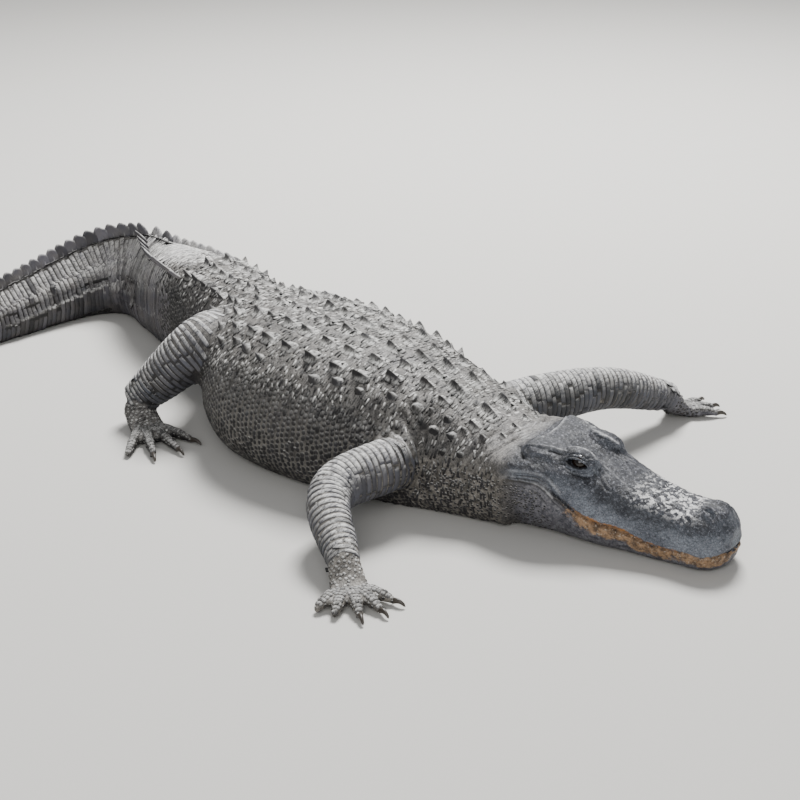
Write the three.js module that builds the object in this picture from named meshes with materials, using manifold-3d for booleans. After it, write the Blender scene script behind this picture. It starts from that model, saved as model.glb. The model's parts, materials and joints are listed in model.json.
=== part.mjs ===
// Adult american alligator as a still, life-size model, lying on its belly on a flat floor.
// Millimetres, +Z up. The origin is on the floor under the belly, +X runs towards the snout
// and +Y is the animal's left. The tail is swung to its right.
import * as THREE from "three";
import { mergeVertices } from "three/addons/utils/BufferGeometryUtils.js";
import Module from "manifold-3d";

const wasm = await Module();
wasm.setup();

// Driving dimensions
const TOTAL_LENGTH = 3100;
const HEAD_END = 445;
const ORIGIN_STATION = 870;
const GAP = 0.3;
const FLOOR = 0;
const BELLY_PRESS = 34;

// Heading of the spine in degrees, by distance from the snout tip
const SPINE_HEADINGS = [
  [0, 15],
  [600, 15],
  [800, 13],
  [900, 7],
  [1060, -4],
  [1300, -14],
  [1480, -13],
  [1600, -5],
  [1880, -7],
  [1950, 6],
  [2030, 42],
  [2110, 78],
  [2200, 97],
  [2400, 101],
  [2700, 84],
  [3100, 70],
];

// Half width, back height and height of the widest point, by distance from the snout tip
const BODY_STATIONS = [
  [445, 140, 174, 84],
  [520, 146, 198, 80],
  [640, 178, 246, 84],
  [800, 226, 286, 92],
  [1000, 250, 302, 98],
  [1140, 210, 292, 98],
  [1280, 138, 276, 100],
  [1400, 116, 260, 104],
  [1620, 114, 242, 96],
  [1800, 98, 230, 86],
  [2000, 74, 210, 74],
  [2200, 56, 172, 62],
  [2500, 36, 118, 46],
  [2800, 19, 68, 28],
  [3100, 5, 18, 8],
];
const BACK_POWER = [
  [445, 2.3],
  [800, 2.4],
  [1080, 2.15],
  [1280, 2.1],
  [1560, 3.2],
  [1700, 3.2],
  [2000, 2.0],
  [3100, 2.0],
];
// How far the top of the section is drawn in, as a share of its half width
const BACK_PINCH = [
  [445, 0],
  [1450, 0],
  [1700, 0.12],
  [1950, 0.62],
  [2050, 0.8],
  [3100, 0.7],
];
const BELLY_POWER = 2.5;

// Head: half width, top height and mouth height, by distance from the snout tip
const SNOUT_ROUND = 66;
const HEAD_STATIONS = [
  [0, 73, 104, 44],
  [40, 76, 110, 38],
  [70, 77, 111, 42],
  [105, 76, 112, 38],
  [150, 80, 118, 42],
  [200, 88, 128, 58],
  [240, 97, 142, 62],
  [283, 106, 155, 78],
  [320, 116, 168, 106],
  [370, 128, 174, 131],
  [411, 136, 174, 128],
  [445, 141, 172, 120],
];
const HEAD_POWER = 2.8;
const JAW_POWER = 2.6;

// Skull table, the flat plate of bone on top of the head
const TABLE_FRONT = 334;
const TABLE_REAR = 414;
const TABLE_HALF_FRONT = 67;
const TABLE_HALF_REAR = 91;
const TABLE_TOP = 185;
const TABLE_BASE = 148;

// Eyes, their lids and the slit between the lids
const EYE_STATION = 303;
const EYE_SIDE = 58;
const EYE_HEIGHT = 161;
const EYE_RADIUS = 18;
const LID_STATION = 312;
const LID_RADII = [50, 29, 33];
const LID_INSET = 8;
const LID_DROP = 11;
const LID_TILT = 9;
const SLIT_RADII = [23, 14, 8.5];
const SLIT_OUT = 20;
const SLIT_RISE = 3;
const EYE_DETAIL = 6;

// Nose: the low mound at the tip and the two nostrils in it
const NOSE_STATION = 52;
const NOSE_HEIGHT = 97;
const NOSE_RADII = [41, 46, 22];
const NOSTRIL_STATION = 43;
const NOSTRIL_SIDE = 27;
const NOSTRIL_HEIGHT = 115;
const NOSTRIL_RADII = [9, 5, 8];
const NOSTRIL_TURN = 30;

// Ear flaps under the side edges of the table, and the slit in front of each
const EAR_STATION = 374;
const EAR_SIDE = 90;
const EAR_HEIGHT = 167;
const EAR_RADII = [40, 9, 10];
const EAR_TOE_OUT = 14;
const EAR_SLIT_STATION = 348;
const EAR_SLIT_SIDE = 98;
const EAR_SLIT_HEIGHT = 158;
const EAR_SLIT_RADII = [26, 12, 2.5];

// Lips, and how the lower jaw is shaped under the mouth line
const LIP_PROUD = 2.5;
const JAW_PRESS = 8;
const JAW_SHARES = [
  [0, 0.9],
  [60, 0.92],
  [150, 1.0],
  [240, 1.03],
  [330, 1.0],
  [445, 1.0],
];
const HEAD_RINGS = [1.5, 6, 14, 26, 42, 62, 86, 112, 140, 170, 200, 228, 256, 284, 312, 342, 374, 411];
const HEAD_ARC = 16;

// Where the trunk and tail are parted, by distance from the snout tip
const CUT_NECK = 562;
const CUT_CHEST = 1014;
const CUT_BELLY = 1406;
const CUT_PELVIS = 1576;
const CUT_TAIL_1 = 1944;
const CUT_TAIL_2 = 2208;
const CUT_TAIL_3 = 2600;

// Scutes of the back: cross rows of keeled plates from the shoulders to the hips
const ROW_FIRST = 650;
const ROW_PITCH = 56;
const ROW_LAST = 1546;
const ROW_COUNTS = [
  [650, 4],
  [710, 5],
  [820, 6],
  [1090, 6],
  [1150, 5],
  [1220, 4],
  [1500, 4],
];
const ROW_SPACING = [
  [650, 46],
  [850, 58],
  [1100, 58],
  [1220, 54],
  [1546, 52],
];
const ROW_WIDEST = 60;
const SCUTE_LENGTH = 49;
const SCUTE_WIDTH = 46;
const SCUTE_KEEL = 12;
const SCUTE_ROOT = 8;
const SCUTE_RIM = 1.8;
const SCUTE_NOSE = [0.3, 0.3];
const SCUTE_SWEEP = 0.42;
const SCUTE_OUTLINE = [
  [0.5, 0.42],
  [-0.5, 0.5],
  [-0.5, -0.5],
  [0.5, -0.42],
];

// Nape scutes in cross rows: distance from the snout, how far out, length, width, keel
const NAPE_SCUTES = [
  [468, 24, 22, 22, 8],
  [472, 66, 20, 20, 7],
  [522, 30, 52, 50, 18],
  [528, 84, 30, 28, 12],
  [598, 29, 50, 46, 17],
  [600, 80, 32, 30, 12],
];

// Lone keels low on the flank: every second row, how far out, and size
const FLANK_FIRST = 758;
const FLANK_LAST = 1110;
const FLANK_PITCH = 112;
const FLANK_ARC = 236;
const FLANK_SIZE = 30;
const FLANK_KEEL = 11;

// Crest of the tail: two rows that close up towards CREST_MERGE, then one row to the tip
const CREST_FIRST = 1600;
const CREST_LAST = 3086;
const CREST_PITCH = [
  [1593, 40],
  [1950, 31],
  [2200, 29],
  [3100, 20],
];
const CREST_OVERLAP = 1.06;
const CREST_MERGE = 1950;
const CREST_SIDE = [
  [1593, 96],
  [1800, 66],
  [1950, 10],
];
const CREST_HEIGHT = [
  [1593, 14],
  [1750, 24],
  [1950, 38],
  [2150, 40],
  [2500, 32],
  [2900, 17],
  [3100, 5],
];
const CREST_THICKNESS = 11;
const CREST_ROOT = 14;
const CREST_SWEEP = 0.62;
const CREST_NOSE = [0.18, 0.66];
const CREST_LIFT = 0.55;

// Each limb: its joints from the root inside the body to the wrist or ankle, and where the toes point
const LIMBS = {
  arm_right: {
    joints: [
      [238, 20, 120],
      [262, -120, 116],
      [270, -290, 100],
      [420, -378, 44],
    ],
    girth: [
      [0, 60],
      [0.33, 58],
      [0.66, 52],
      [0.85, 46],
      [1, 36],
    ],
    toesPoint: -26,
    front: true,
  },
  arm_left: {
    joints: [
      [212, 130, 120],
      [254, 280, 133],
      [290, 440, 130],
      [306, 640, 62],
    ],
    girth: [
      [0, 62],
      [0.33, 58],
      [0.66, 48],
      [0.85, 42],
      [1, 34],
    ],
    toesPoint: 98,
    front: true,
  },
  leg_right: {
    joints: [
      [-640, 60, 112],
      [-480, -8, 132],
      [-368, -154, 184],
      [-466, -278, 52],
    ],
    girth: [
      [0, 84],
      [0.33, 76],
      [0.66, 70],
      [0.85, 55],
      [1, 39],
    ],
    toesPoint: -14,
    front: false,
  },
  leg_left: {
    joints: [
      [-640, 130, 115],
      [-560, 190, 112],
      [-500, 275, 106],
      [-596, 412, 52],
    ],
    girth: [
      [0, 84],
      [0.33, 82],
      [0.66, 70],
      [0.85, 58],
      [1, 41],
    ],
    toesPoint: 22,
    front: false,
  },
};

const LIMB_SIDES = 12;
const LIMB_FLATNESS = 0.86;

// Hand and foot: length and half width of the palm, and its toes from the innermost outwards,
// each with its direction from the middle, its length and whether it ends in a claw
const HAND = {
  length: 70,
  half: 40,
  clawLength: 22,
  toes: [
    [-46, 50, true],
    [-22, 62, true],
    [0, 66, true],
    [24, 60, false],
    [48, 48, false],
  ],
};
const FOOT = {
  length: 104,
  half: 43,
  clawLength: 26,
  toes: [
    [-30, 84, true],
    [-10, 104, true],
    [10, 108, true],
    [30, 98, false],
  ],
};
const PALM_STEPS = 4;
const PALM_LEAN = 0.35;
const TOE_SIDES = 6;
const TOE_HEIGHT = 14;
const TOE_BASE = 0.72;
const TOE_FAN = 84;
const TOE_GIRTHS = [13, 13.5, 11.5];
const WEB_HAND = 0.3;
const WEB_FOOT = 0.62;
const WEB_LOW = 3;
const WEB_HIGH = 11;

// Colours of the finishes
const HIDE = { color: 0x3f3f44, roughness: 0.72, metalness: 0 };
const JAW = { color: 0x57534f, roughness: 0.7, metalness: 0 };
const CREST = { color: 0x55555a, roughness: 0.75, metalness: 0 };
const EYE = { color: 0x2a1c12, roughness: 0.15, metalness: 0 };
const HORN = { color: 0x2b2724, roughness: 0.45, metalness: 0 };

const DEG = Math.PI / 180;
const UP = new THREE.Vector3(0, 0, 1);

// A smooth curve without overshoot through the rows [station, value, ...]
function smoothTable(rows, column = 1) {
  const xs = rows.map((row) => row[0]);
  const ys = rows.map((row) => row[column]);
  const slopes = xs.slice(1).map((x, i) => (ys[i + 1] - ys[i]) / (x - xs[i]));
  const tangents = xs.map((x, i) => {
    const before = slopes[i - 1];
    const after = slopes[i];
    if (before === undefined || after === undefined) return before ?? after;
    return before * after <= 0 ? 0 : (2 * before * after) / (before + after);
  });
  return (x) => {
    const t = Math.min(Math.max(x, xs[0]), xs[xs.length - 1]);
    const i = Math.min(xs.length - 2, Math.max(0, xs.findIndex((value) => value >= t) - 1));
    const width = xs[i + 1] - xs[i];
    const u = (t - xs[i]) / width;
    const rise = ys[i + 1] - ys[i];
    const bend = (1 - u) * (tangents[i] * width - rise) - u * (tangents[i + 1] * width - rise);
    return ys[i] + u * rise + u * (1 - u) * bend;
  };
}

const headingAt = smoothTable(SPINE_HEADINGS);
const halfAt = smoothTable(BODY_STATIONS, 1);
const backAt = smoothTable(BODY_STATIONS, 2);
const widestAt = smoothTable(BODY_STATIONS, 3);
const backPowerAt = smoothTable(BACK_POWER);
const pinchAt = smoothTable(BACK_PINCH);
const headHalfAt = smoothTable(HEAD_STATIONS, 1);
const headTopAt = smoothTable(HEAD_STATIONS, 2);
const mouthAt = smoothTable(HEAD_STATIONS, 3);
const jawShare = smoothTable(JAW_SHARES);
const rowCount = smoothTable(ROW_COUNTS);
const rowSpacing = smoothTable(ROW_SPACING);
const crestSide = smoothTable(CREST_SIDE);
const crestHeight = smoothTable(CREST_HEIGHT);
const crestPitch = smoothTable(CREST_PITCH);

// Points of the spine in the ground plane, every SPINE_STEP from the snout to the tail tip
const SPINE_STEP = 5;
const spine = [];
{
  let x = 0;
  let y = 0;
  for (let s = 0; s <= TOTAL_LENGTH + SPINE_STEP; s += SPINE_STEP) {
    spine.push([x, y]);
    const heading = headingAt(s + SPINE_STEP / 2) * DEG;
    x -= SPINE_STEP * Math.cos(heading);
    y -= SPINE_STEP * Math.sin(heading);
  }
  const [originX, originY] = spine[ORIGIN_STATION / SPINE_STEP];
  spine.forEach((point) => {
    point[0] -= originX;
    point[1] -= originY;
  });
}

// A point at a distance s from the snout, out to the left by side and up by height
function place(s, side, height) {
  const i = Math.min(Math.max(Math.floor(s / SPINE_STEP), 0), spine.length - 2);
  const u = s / SPINE_STEP - i;
  const heading = headingAt(s) * DEG;
  const x = spine[i][0] + u * (spine[i + 1][0] - spine[i][0]);
  const y = spine[i][1] + u * (spine[i + 1][1] - spine[i][1]);
  return new THREE.Vector3(x - side * Math.sin(heading), y + side * Math.cos(heading), height);
}

// One point of the body's cross-section: the angle is 0 at the left flank and 90 on the back
function bodyPoint(s, angle, grow = 0) {
  const c = Math.cos(angle);
  const k = Math.sin(angle);
  const mid = widestAt(s);
  const power = 2 / (k >= 0 ? backPowerAt(s) : BELLY_POWER);
  const reach = k >= 0 ? backAt(s) + grow - mid : mid + BELLY_PRESS * Math.min(1, halfAt(s) / 150) + grow;
  const rise = Math.sign(k) * Math.abs(k) ** power;
  const pinch = k >= 0 ? 1 - pinchAt(s) * rise ** 1.5 : 1;
  const side = (halfAt(s) + grow) * Math.sign(c) * Math.abs(c) ** power * pinch;
  return place(s, side, Math.max(mid + reach * rise, FLOOR - 3 * grow));
}

function bodyRing(s, count, grow = 0) {
  const ring = [];
  for (let i = 0; i < count; i += 1) {
    ring.push(bodyPoint(s, ((i + 0.5) / count) * 2 * Math.PI, grow));
  }
  return ring;
}

// The skin at a distance s from the snout and an arc length out from the midline of the back
function backSurface(s, arc) {
  const side = arc < 0 ? -1 : 1;
  const turn = 1.5 * DEG;
  let angle = Math.PI / 2;
  let here = bodyPoint(s, angle);
  let next = here;
  let left = Math.abs(arc);
  for (;;) {
    next = bodyPoint(s, angle - side * turn);
    const step = here.distanceTo(next);
    if (step >= left) break;
    left -= step;
    angle -= side * turn;
    here = next;
  }
  const across = next.clone().sub(here).normalize();
  const point = here.clone().addScaledVector(across, left);
  const along = bodyPoint(s - 4, angle).sub(bodyPoint(s + 4, angle));
  const stretch = along.length() / 8;
  along.normalize();
  const out = new THREE.Vector3().crossVectors(along, across).normalize().multiplyScalar(side);
  return { point, along, out, across: across.multiplyScalar(side), stretch };
}

// Rounds the snout off towards its tip
function snoutRound(s, power) {
  const u = Math.min(1, Math.max(0, (SNOUT_ROUND - s) / SNOUT_ROUND));
  return (1 - u ** power) ** (1 / power);
}

function solidFromGeometry(geometry) {
  const bare = geometry.clone();
  bare.deleteAttribute("normal");
  bare.deleteAttribute("uv");
  const merged = mergeVertices(bare, 1e-4);
  const mesh = new wasm.Mesh({
    numProp: 3,
    vertProperties: new Float32Array(merged.attributes.position.array),
    triVerts: new Uint32Array(merged.index.array),
  });
  return new wasm.Manifold(mesh);
}

function geometryFromSolid(solid) {
  const { vertProperties, triVerts } = solid.getMesh();
  const geometry = new THREE.BufferGeometry();
  geometry.setAttribute("position", new THREE.BufferAttribute(new Float32Array(vertProperties), 3));
  geometry.setIndex(new THREE.BufferAttribute(new Uint32Array(triVerts), 1));
  geometry.computeVertexNormals();
  return geometry;
}

// A closed solid through rings of points, each with the same number of points
function loft(rings) {
  const count = rings[0].length;
  const positions = rings.flat();
  const index = [];
  for (let r = 0; r + 1 < rings.length; r += 1) {
    for (let i = 0; i < count; i += 1) {
      const a = r * count + i;
      const b = r * count + ((i + 1) % count);
      index.push(a, b, b + count, a, b + count, a + count);
    }
  }
  [rings[0], rings[rings.length - 1]].forEach((ring, end) => {
    const centre = ring.reduce((sum, point) => sum.add(point), new THREE.Vector3()).divideScalar(count);
    const hub = positions.length;
    const first = end === 0 ? 0 : (rings.length - 1) * count;
    positions.push(centre);
    for (let i = 0; i < count; i += 1) {
      const a = first + i;
      const b = first + ((i + 1) % count);
      index.push(...(end === 0 ? [hub, b, a] : [hub, a, b]));
    }
  });
  return closedSolid(positions, index);
}

// A closed solid from its corners and triangles
function closedSolid(corners, index) {
  const positions = corners.flatMap((point) => [point.x, point.y, point.z]);
  const geometry = new THREE.BufferGeometry();
  geometry.setAttribute("position", new THREE.BufferAttribute(new Float32Array(positions), 3));
  geometry.setIndex(signedVolume(positions, index) < 0 ? flipped(index) : index);
  return solidFromGeometry(geometry);
}

function signedVolume(positions, index) {
  const corner = (i) => new THREE.Vector3().fromArray(positions, 3 * i);
  let sum = 0;
  for (let i = 0; i < index.length; i += 3) {
    sum += corner(index[i]).dot(corner(index[i + 1]).cross(corner(index[i + 2])));
  }
  return sum / 6;
}

function flipped(index) {
  const out = [];
  for (let i = 0; i < index.length; i += 3) out.push(index[i], index[i + 2], index[i + 1]);
  return out;
}

// Keeps the largest closed surface of a solid
function largest(solid) {
  const pieces = solid.decompose().map((piece) => ({ piece, volume: Math.abs(meshVolume(piece)) }));
  pieces.sort((a, b) => b.volume - a.volume);
  return pieces[0].piece;
}

function meshVolume(solid) {
  const { vertProperties, triVerts } = solid.getMesh();
  return signedVolume(vertProperties, triVerts);
}

function unite(solids) {
  return solids.reduce((sum, solid) => sum.add(solid));
}

function ellipsoid(centre, radii, heading = 0, tilt = 0, detail = 7) {
  const geometry = new THREE.SphereGeometry(1, detail + 4, detail);
  geometry.scale(...radii);
  geometry.rotateY(tilt * DEG);
  geometry.rotateZ(heading * DEG);
  geometry.translate(centre.x, centre.y, centre.z);
  return solidFromGeometry(geometry);
}

// Seeded draws, so that the plates vary in the same way each time
let seed = 20261;
function vary(amount) {
  seed = (seed * 16807) % 2147483647;
  return (2 * (seed / 2147483647) - 1) * amount;
}

const root = new THREE.Group();

function addNode(name, solid, finish) {
  const mesh = new THREE.Mesh(geometryFromSolid(solid), new THREE.MeshStandardMaterial(finish));
  mesh.name = name;
  root.add(mesh);
}

// Evenly spaced stations from one cut to the next, drawn in by half the gap at both ends
function stationsBetween(from, to, step, trim = GAP / 2) {
  const count = Math.max(2, Math.round((to - from) / step));
  const out = [];
  for (let i = 0; i <= count; i += 1) {
    const s = from + ((to - from) * i) / count;
    out.push(i === 0 ? s + trim : i === count ? s - trim : s);
  }
  return out;
}

// One length of the body, or a copy grown on all sides to cut its neighbours with
function bodyLength(from, to, step, count, grow = 0) {
  return loft(stationsBetween(from, to, step, GAP / 2 - grow).map((s) => bodyRing(s, count, grow)));
}

// One ring of the head: the part over the mouth line, or the lower jaw under it
function headRing(s, upper) {
  const round = snoutRound(s, 2.3);
  const half = headHalfAt(s) * round;
  const mouth = mouthAt(s);
  const ring = [];
  const lip = LIP_PROUD * round;
  for (let i = 0; i <= HEAD_ARC; i += 1) {
    const angle = (i / HEAD_ARC) * Math.PI;
    const c = Math.cos(angle);
    const k = Math.sin(angle);
    const edge = i === 0 || i === HEAD_ARC;
    if (upper) {
      const top = mouth + (headTopAt(s) - mouth) * snoutRound(s + 8, 2.6);
      const rise = k ** (2 / HEAD_POWER);
      const side = half * Math.sign(c) * Math.abs(c) ** (2 / HEAD_POWER);
      ring.push(place(s, side + (edge ? Math.sign(c) * lip : 0), mouth + GAP / 2 + (top - mouth) * rise));
    } else {
      const chin = mouth * (1 - snoutRound(s, 2.2));
      const fall = k ** (2 / JAW_POWER);
      const side = half * jawShare(s) * Math.sign(c) * Math.abs(c) ** (2 / JAW_POWER);
      const low = mouth - GAP / 2 - (mouth - chin + JAW_PRESS) * fall;
      ring.push(place(s, side + (edge ? Math.sign(c) * lip : 0), Math.max(low, FLOOR)));
    }
  }
  return ring;
}

function makeHead() {
  const rings = [...HEAD_RINGS, HEAD_END - GAP / 2];
  const turn = headingAt(0);
  const sized = (radii, grow) => radii.map((radius) => radius + grow);
  const ball = [EYE_RADIUS, EYE_RADIUS, EYE_RADIUS];
  const ends = [];
  let cranium = loft(rings.map((s) => headRing(s, true))).add(makeTable());
  cranium = cranium.add(ellipsoid(place(NOSE_STATION, 0, NOSE_HEIGHT), NOSE_RADII, turn));
  [1, -1].forEach((side) => {
    const lid = place(LID_STATION, side * (EYE_SIDE - LID_INSET), EYE_HEIGHT - LID_DROP);
    cranium = cranium.add(ellipsoid(lid, LID_RADII, turn, LID_TILT));
  });
  [1, -1].forEach((side) => {
    const hand = side > 0 ? "left" : "right";
    const eye = place(EYE_STATION, side * EYE_SIDE, EYE_HEIGHT);
    const slit = place(EYE_STATION, side * (EYE_SIDE + SLIT_OUT), EYE_HEIGHT + SLIT_RISE);
    const nostril = place(NOSTRIL_STATION, side * NOSTRIL_SIDE, NOSTRIL_HEIGHT);
    const ear = place(EAR_STATION, side * EAR_SIDE, EAR_HEIGHT);
    const earSlit = place(EAR_SLIT_STATION, side * EAR_SLIT_SIDE, EAR_SLIT_HEIGHT);
    const earTurn = turn - side * EAR_TOE_OUT;
    cranium = cranium.subtract(ellipsoid(eye, sized(ball, GAP), 0, 0, EYE_DETAIL));
    cranium = cranium.subtract(ellipsoid(slit, SLIT_RADII, turn, LID_TILT, EYE_DETAIL));
    cranium = cranium.subtract(ellipsoid(nostril, NOSTRIL_RADII, turn - side * NOSTRIL_TURN, 0, 5));
    cranium = cranium.subtract(ellipsoid(earSlit, EAR_SLIT_RADII, earTurn, 0, 5));
    cranium = cranium.subtract(ellipsoid(ear, sized(EAR_RADII, GAP), earTurn, 0, 5));
    ends.push([`eye_${hand}`, ellipsoid(eye, ball, 0, 0, EYE_DETAIL), EYE]);
    ends.push([`ear_flap_${hand}`, ellipsoid(ear, EAR_RADII, earTurn, 0, 5), HIDE]);
  });
  addNode("cranium", largest(cranium), HIDE);
  addNode("lower_jaw", largest(loft(rings.map((s) => headRing(s, false)))), JAW);
  ends.forEach((end) => addNode(...end));
}

function makeTable() {
  const rings = [
    [TABLE_FRONT, TABLE_HALF_FRONT, TABLE_TOP - 10],
    [TABLE_FRONT + 30, TABLE_HALF_FRONT + 12, TABLE_TOP - 2],
    [(TABLE_FRONT + TABLE_REAR) / 2 + 10, TABLE_HALF_REAR - 5, TABLE_TOP],
    [TABLE_REAR, TABLE_HALF_REAR, TABLE_TOP],
  ].map(([s, half, top]) => [
    place(s, half, TABLE_BASE),
    place(s, half, top - 7),
    place(s, half - 7, top),
    place(s, -half + 7, top),
    place(s, -half, top - 7),
    place(s, -half, TABLE_BASE),
  ]);
  return loft(rings);
}

// Limbs: a smooth curve through the joints with a round section that changes along it
function limbCurve(points) {
  return new THREE.CatmullRomCurve3(points.map((p) => new THREE.Vector3(...p)), false, "centripetal");
}

function limbRing(curve, t, wide, tall, grow) {
  const centre = curve.getPoint(t);
  const along = curve.getTangent(t);
  const side = new THREE.Vector3().crossVectors(along, UP).normalize();
  const over = new THREE.Vector3().crossVectors(side, along);
  const ring = [];
  for (let i = 0; i < LIMB_SIDES; i += 1) {
    const angle = (i / LIMB_SIDES) * 2 * Math.PI;
    const point = centre
      .clone()
      .addScaledVector(side, (wide + grow) * Math.cos(angle))
      .addScaledVector(over, (tall + grow) * Math.sin(angle));
    point.z = Math.max(point.z, FLOOR - 3 * grow);
    ring.push(point);
  }
  return ring;
}

function limbLength(curve, from, to, widths, heights, steps, grow = 0) {
  const trim = GAP / 2 / curve.getLength();
  const rings = [];
  for (let i = 0; i <= steps; i += 1) {
    let t = from + ((to - from) * i) / steps;
    if (i === 0 && from > 0) t += trim;
    if (i === steps) t -= trim;
    rings.push(limbRing(curve, t, widths(t), heights(t), grow));
  }
  return loft(rings);
}

// A ring across a toe or claw
function toeRing(centre, across, wide, tall, low) {
  const ring = [];
  for (let j = 0; j < TOE_SIDES; j += 1) {
    const angle = ((j + 0.5) / TOE_SIDES) * 2 * Math.PI;
    const point = centre.clone().addScaledVector(across, wide * Math.cos(angle));
    point.z = Math.max(low, point.z + tall * Math.sin(angle));
    ring.push(point);
  }
  return ring;
}

function groundDirection(degrees) {
  return new THREE.Vector3(Math.cos(degrees * DEG), Math.sin(degrees * DEG), 0);
}

// A hand or foot from the end ring of its limb to the toes, with the claws as nodes of their own
function makePaw(name, curve, endWide, endTall, limb, outer) {
  const { length: palm, half, toes, clawLength } = limb.front ? HAND : FOOT;
  const wrist = curve.getPoint(1);
  const forward = groundDirection(limb.toesPoint);
  const right = groundDirection(limb.toesPoint - 90);
  const trim = GAP / 2 / curve.getLength();
  const rings = [limbRing(curve, 1 - trim, endWide, endTall, 0)];
  rings[0].forEach((point) => point.addScaledVector(curve.getTangent(1), GAP));
  for (let i = 1; i <= PALM_STEPS; i += 1) {
    const u = i / PALM_STEPS;
    const centre = wrist.clone().addScaledVector(forward, u * palm);
    centre.z = (wrist.z - TOE_HEIGHT) * (1 - u) ** 1.7 + TOE_HEIGHT;
    const wide = THREE.MathUtils.lerp(endWide, half, u);
    const tall = THREE.MathUtils.lerp(endTall, TOE_HEIGHT, Math.min(1, 1.2 * u));
    const lean = (1 - u) * PALM_LEAN;
    const ring = [];
    for (let j = 0; j < LIMB_SIDES; j += 1) {
      const angle = (j / LIMB_SIDES) * 2 * Math.PI;
      const point = centre.clone().addScaledVector(right, wide * Math.cos(angle));
      point.addScaledVector(forward, lean * tall * Math.sin(angle));
      point.z = Math.max(FLOOR, point.z + tall * Math.sin(angle));
      ring.push(point);
    }
    rings.push(ring);
  }
  let paw = loft(rings);
  const base = wrist.clone().addScaledVector(forward, palm * TOE_BASE).setZ(0);
  const lines = toes.map(([angle, length, clawed]) => {
    const ahead = groundDirection(limb.toesPoint + outer * angle);
    const from = base.clone().addScaledVector(right, -outer * (angle / TOE_FAN) * half);
    return { from, ahead, across: groundDirection(limb.toesPoint + outer * angle + 90), length, clawed };
  });
  lines.forEach(({ from, ahead, across, length, clawed }, i) => {
    const reach = length + palm * (1 - TOE_BASE);
    const girths = [...TOE_GIRTHS, clawed ? 9 : 6];
    const toe = girths.map((girth, k) => {
      const u = k / TOE_GIRTHS.length;
      const centre = from.clone().addScaledVector(ahead, u * reach);
      centre.z = 12 + 5 * Math.sin(u * Math.PI) - 3 * u;
      return toeRing(centre, across, girth, girth, FLOOR);
    });
    paw = paw.add(loft(toe));
    if (!clawed) return;
    const claw = [0, 0.5, 1].map((u) => {
      const centre = from.clone().addScaledVector(ahead, reach + GAP + u * clawLength);
      centre.z = 9 + 4 * Math.sin(u * 2.2) - 6 * u * u;
      const girth = THREE.MathUtils.lerp(6.5, 0.8, u);
      return toeRing(centre, across, girth * 0.8, girth, 1.5);
    });
    addNode(`claw_${name}_${i + 1}`, loft(claw), HORN);
  });
  for (let i = 0; i + 1 < lines.length; i += 1) {
    paw = paw.add(web(lines[i], lines[i + 1], limb.front ? WEB_HAND : WEB_FOOT));
  }
  return largest(paw);
}

// The thin skin between two toes, as far out as a share of their length
function web(one, other, share) {
  const corners = [];
  [WEB_LOW, WEB_HIGH].forEach((height) => {
    [one, other].forEach(({ from, ahead, length }) => {
      corners.push(from.clone().setZ(height));
      corners.push(from.clone().addScaledVector(ahead, share * length).setZ(height - 1));
    });
  });
  const [a, b, c, d] = [0, 1, 2, 3];
  const index = [a, b, d, a, d, c, a + 4, d + 4, b + 4, a + 4, c + 4, d + 4];
  [[a, c], [c, d], [d, b], [b, a]].forEach(([i, j]) => index.push(i, j, j + 4, i, j + 4, i + 4));
  return closedSolid(corners, index);
}

// A four-sided plate with a keel that rises to the rear, its root sunk in the skin. A roof has
// sides that run straight from its root to the keel, any other plate has upright edges first.
function scute(plate) {
  const { s, arc, length, width, keel, lift = 0, roof = false } = plate;
  const { root = SCUTE_ROOT, rim = SCUTE_RIM, sweep = SCUTE_SWEEP, nose = SCUTE_NOSE } = plate;
  const { point, along, out, across, stretch } = backSurface(s, arc);
  out.addScaledVector(UP, lift).normalize();
  const at = (u, v, h) => {
    const corner = point.clone().addScaledVector(along, u * length * stretch);
    return corner.addScaledVector(across, v * width).addScaledVector(out, h);
  };
  const corners = SCUTE_OUTLINE.map(([u, v]) => at(u, v, -root));
  if (!roof) corners.push(...SCUTE_OUTLINE.map(([u, v]) => at(u * 0.95, v * 0.92, rim)));
  const top = corners.length;
  corners.push(at(nose[0], 0, rim + nose[1] * (keel - rim)), at(-sweep, 0, keel));
  const index = [0, 2, 1, 0, 3, 2];
  for (let i = 0; i < top - 4; i += 1) {
    const j = (i + 1) % 4;
    index.push(i, j, j + 4, i, j + 4, i + 4);
  }
  const [a, b, c, d, front, rear] = [top - 4, top - 3, top - 2, top - 1, top, top + 1];
  index.push(a, b, rear, a, rear, front, b, c, rear, c, d, front, c, front, rear, d, a, front);
  return closedSolid(corners, index);
}

// Rows of plates over the back between two cuts, each a little different
function backScutes(from, to) {
  const plates = [];
  for (let s = ROW_FIRST; s <= ROW_LAST; s += ROW_PITCH) {
    if (s < from || s > to) continue;
    const across = Math.round(rowCount(s));
    for (let k = 0; k < across; k += 1) {
      const arc = (k - (across - 1) / 2) * rowSpacing(s);
      const outer = k === 0 || k === across - 1;
      plates.push({
        s: s + vary(1.5),
        arc: arc + vary(2),
        length: SCUTE_LENGTH + vary(2) - (outer ? 8 : 0),
        width: SCUTE_WIDTH * (rowSpacing(s) / ROW_WIDEST) + vary(2) - (outer ? 8 : 0),
        keel: SCUTE_KEEL + vary(1.5) + (outer ? 2 : 0) + Math.max(0, (s - 1440) / 20),
      });
    }
  }
  for (let s = FLANK_FIRST; s <= FLANK_LAST; s += FLANK_PITCH) {
    if (s < from || s > to) continue;
    [1, -1].forEach((side) => {
      const arc = side * (FLANK_ARC + vary(16));
      const size = FLANK_SIZE + vary(4);
      plates.push({ s: s + vary(8), arc, length: size, width: size, keel: FLANK_KEEL + vary(2), roof: true });
    });
  }
  return plates;
}

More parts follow.
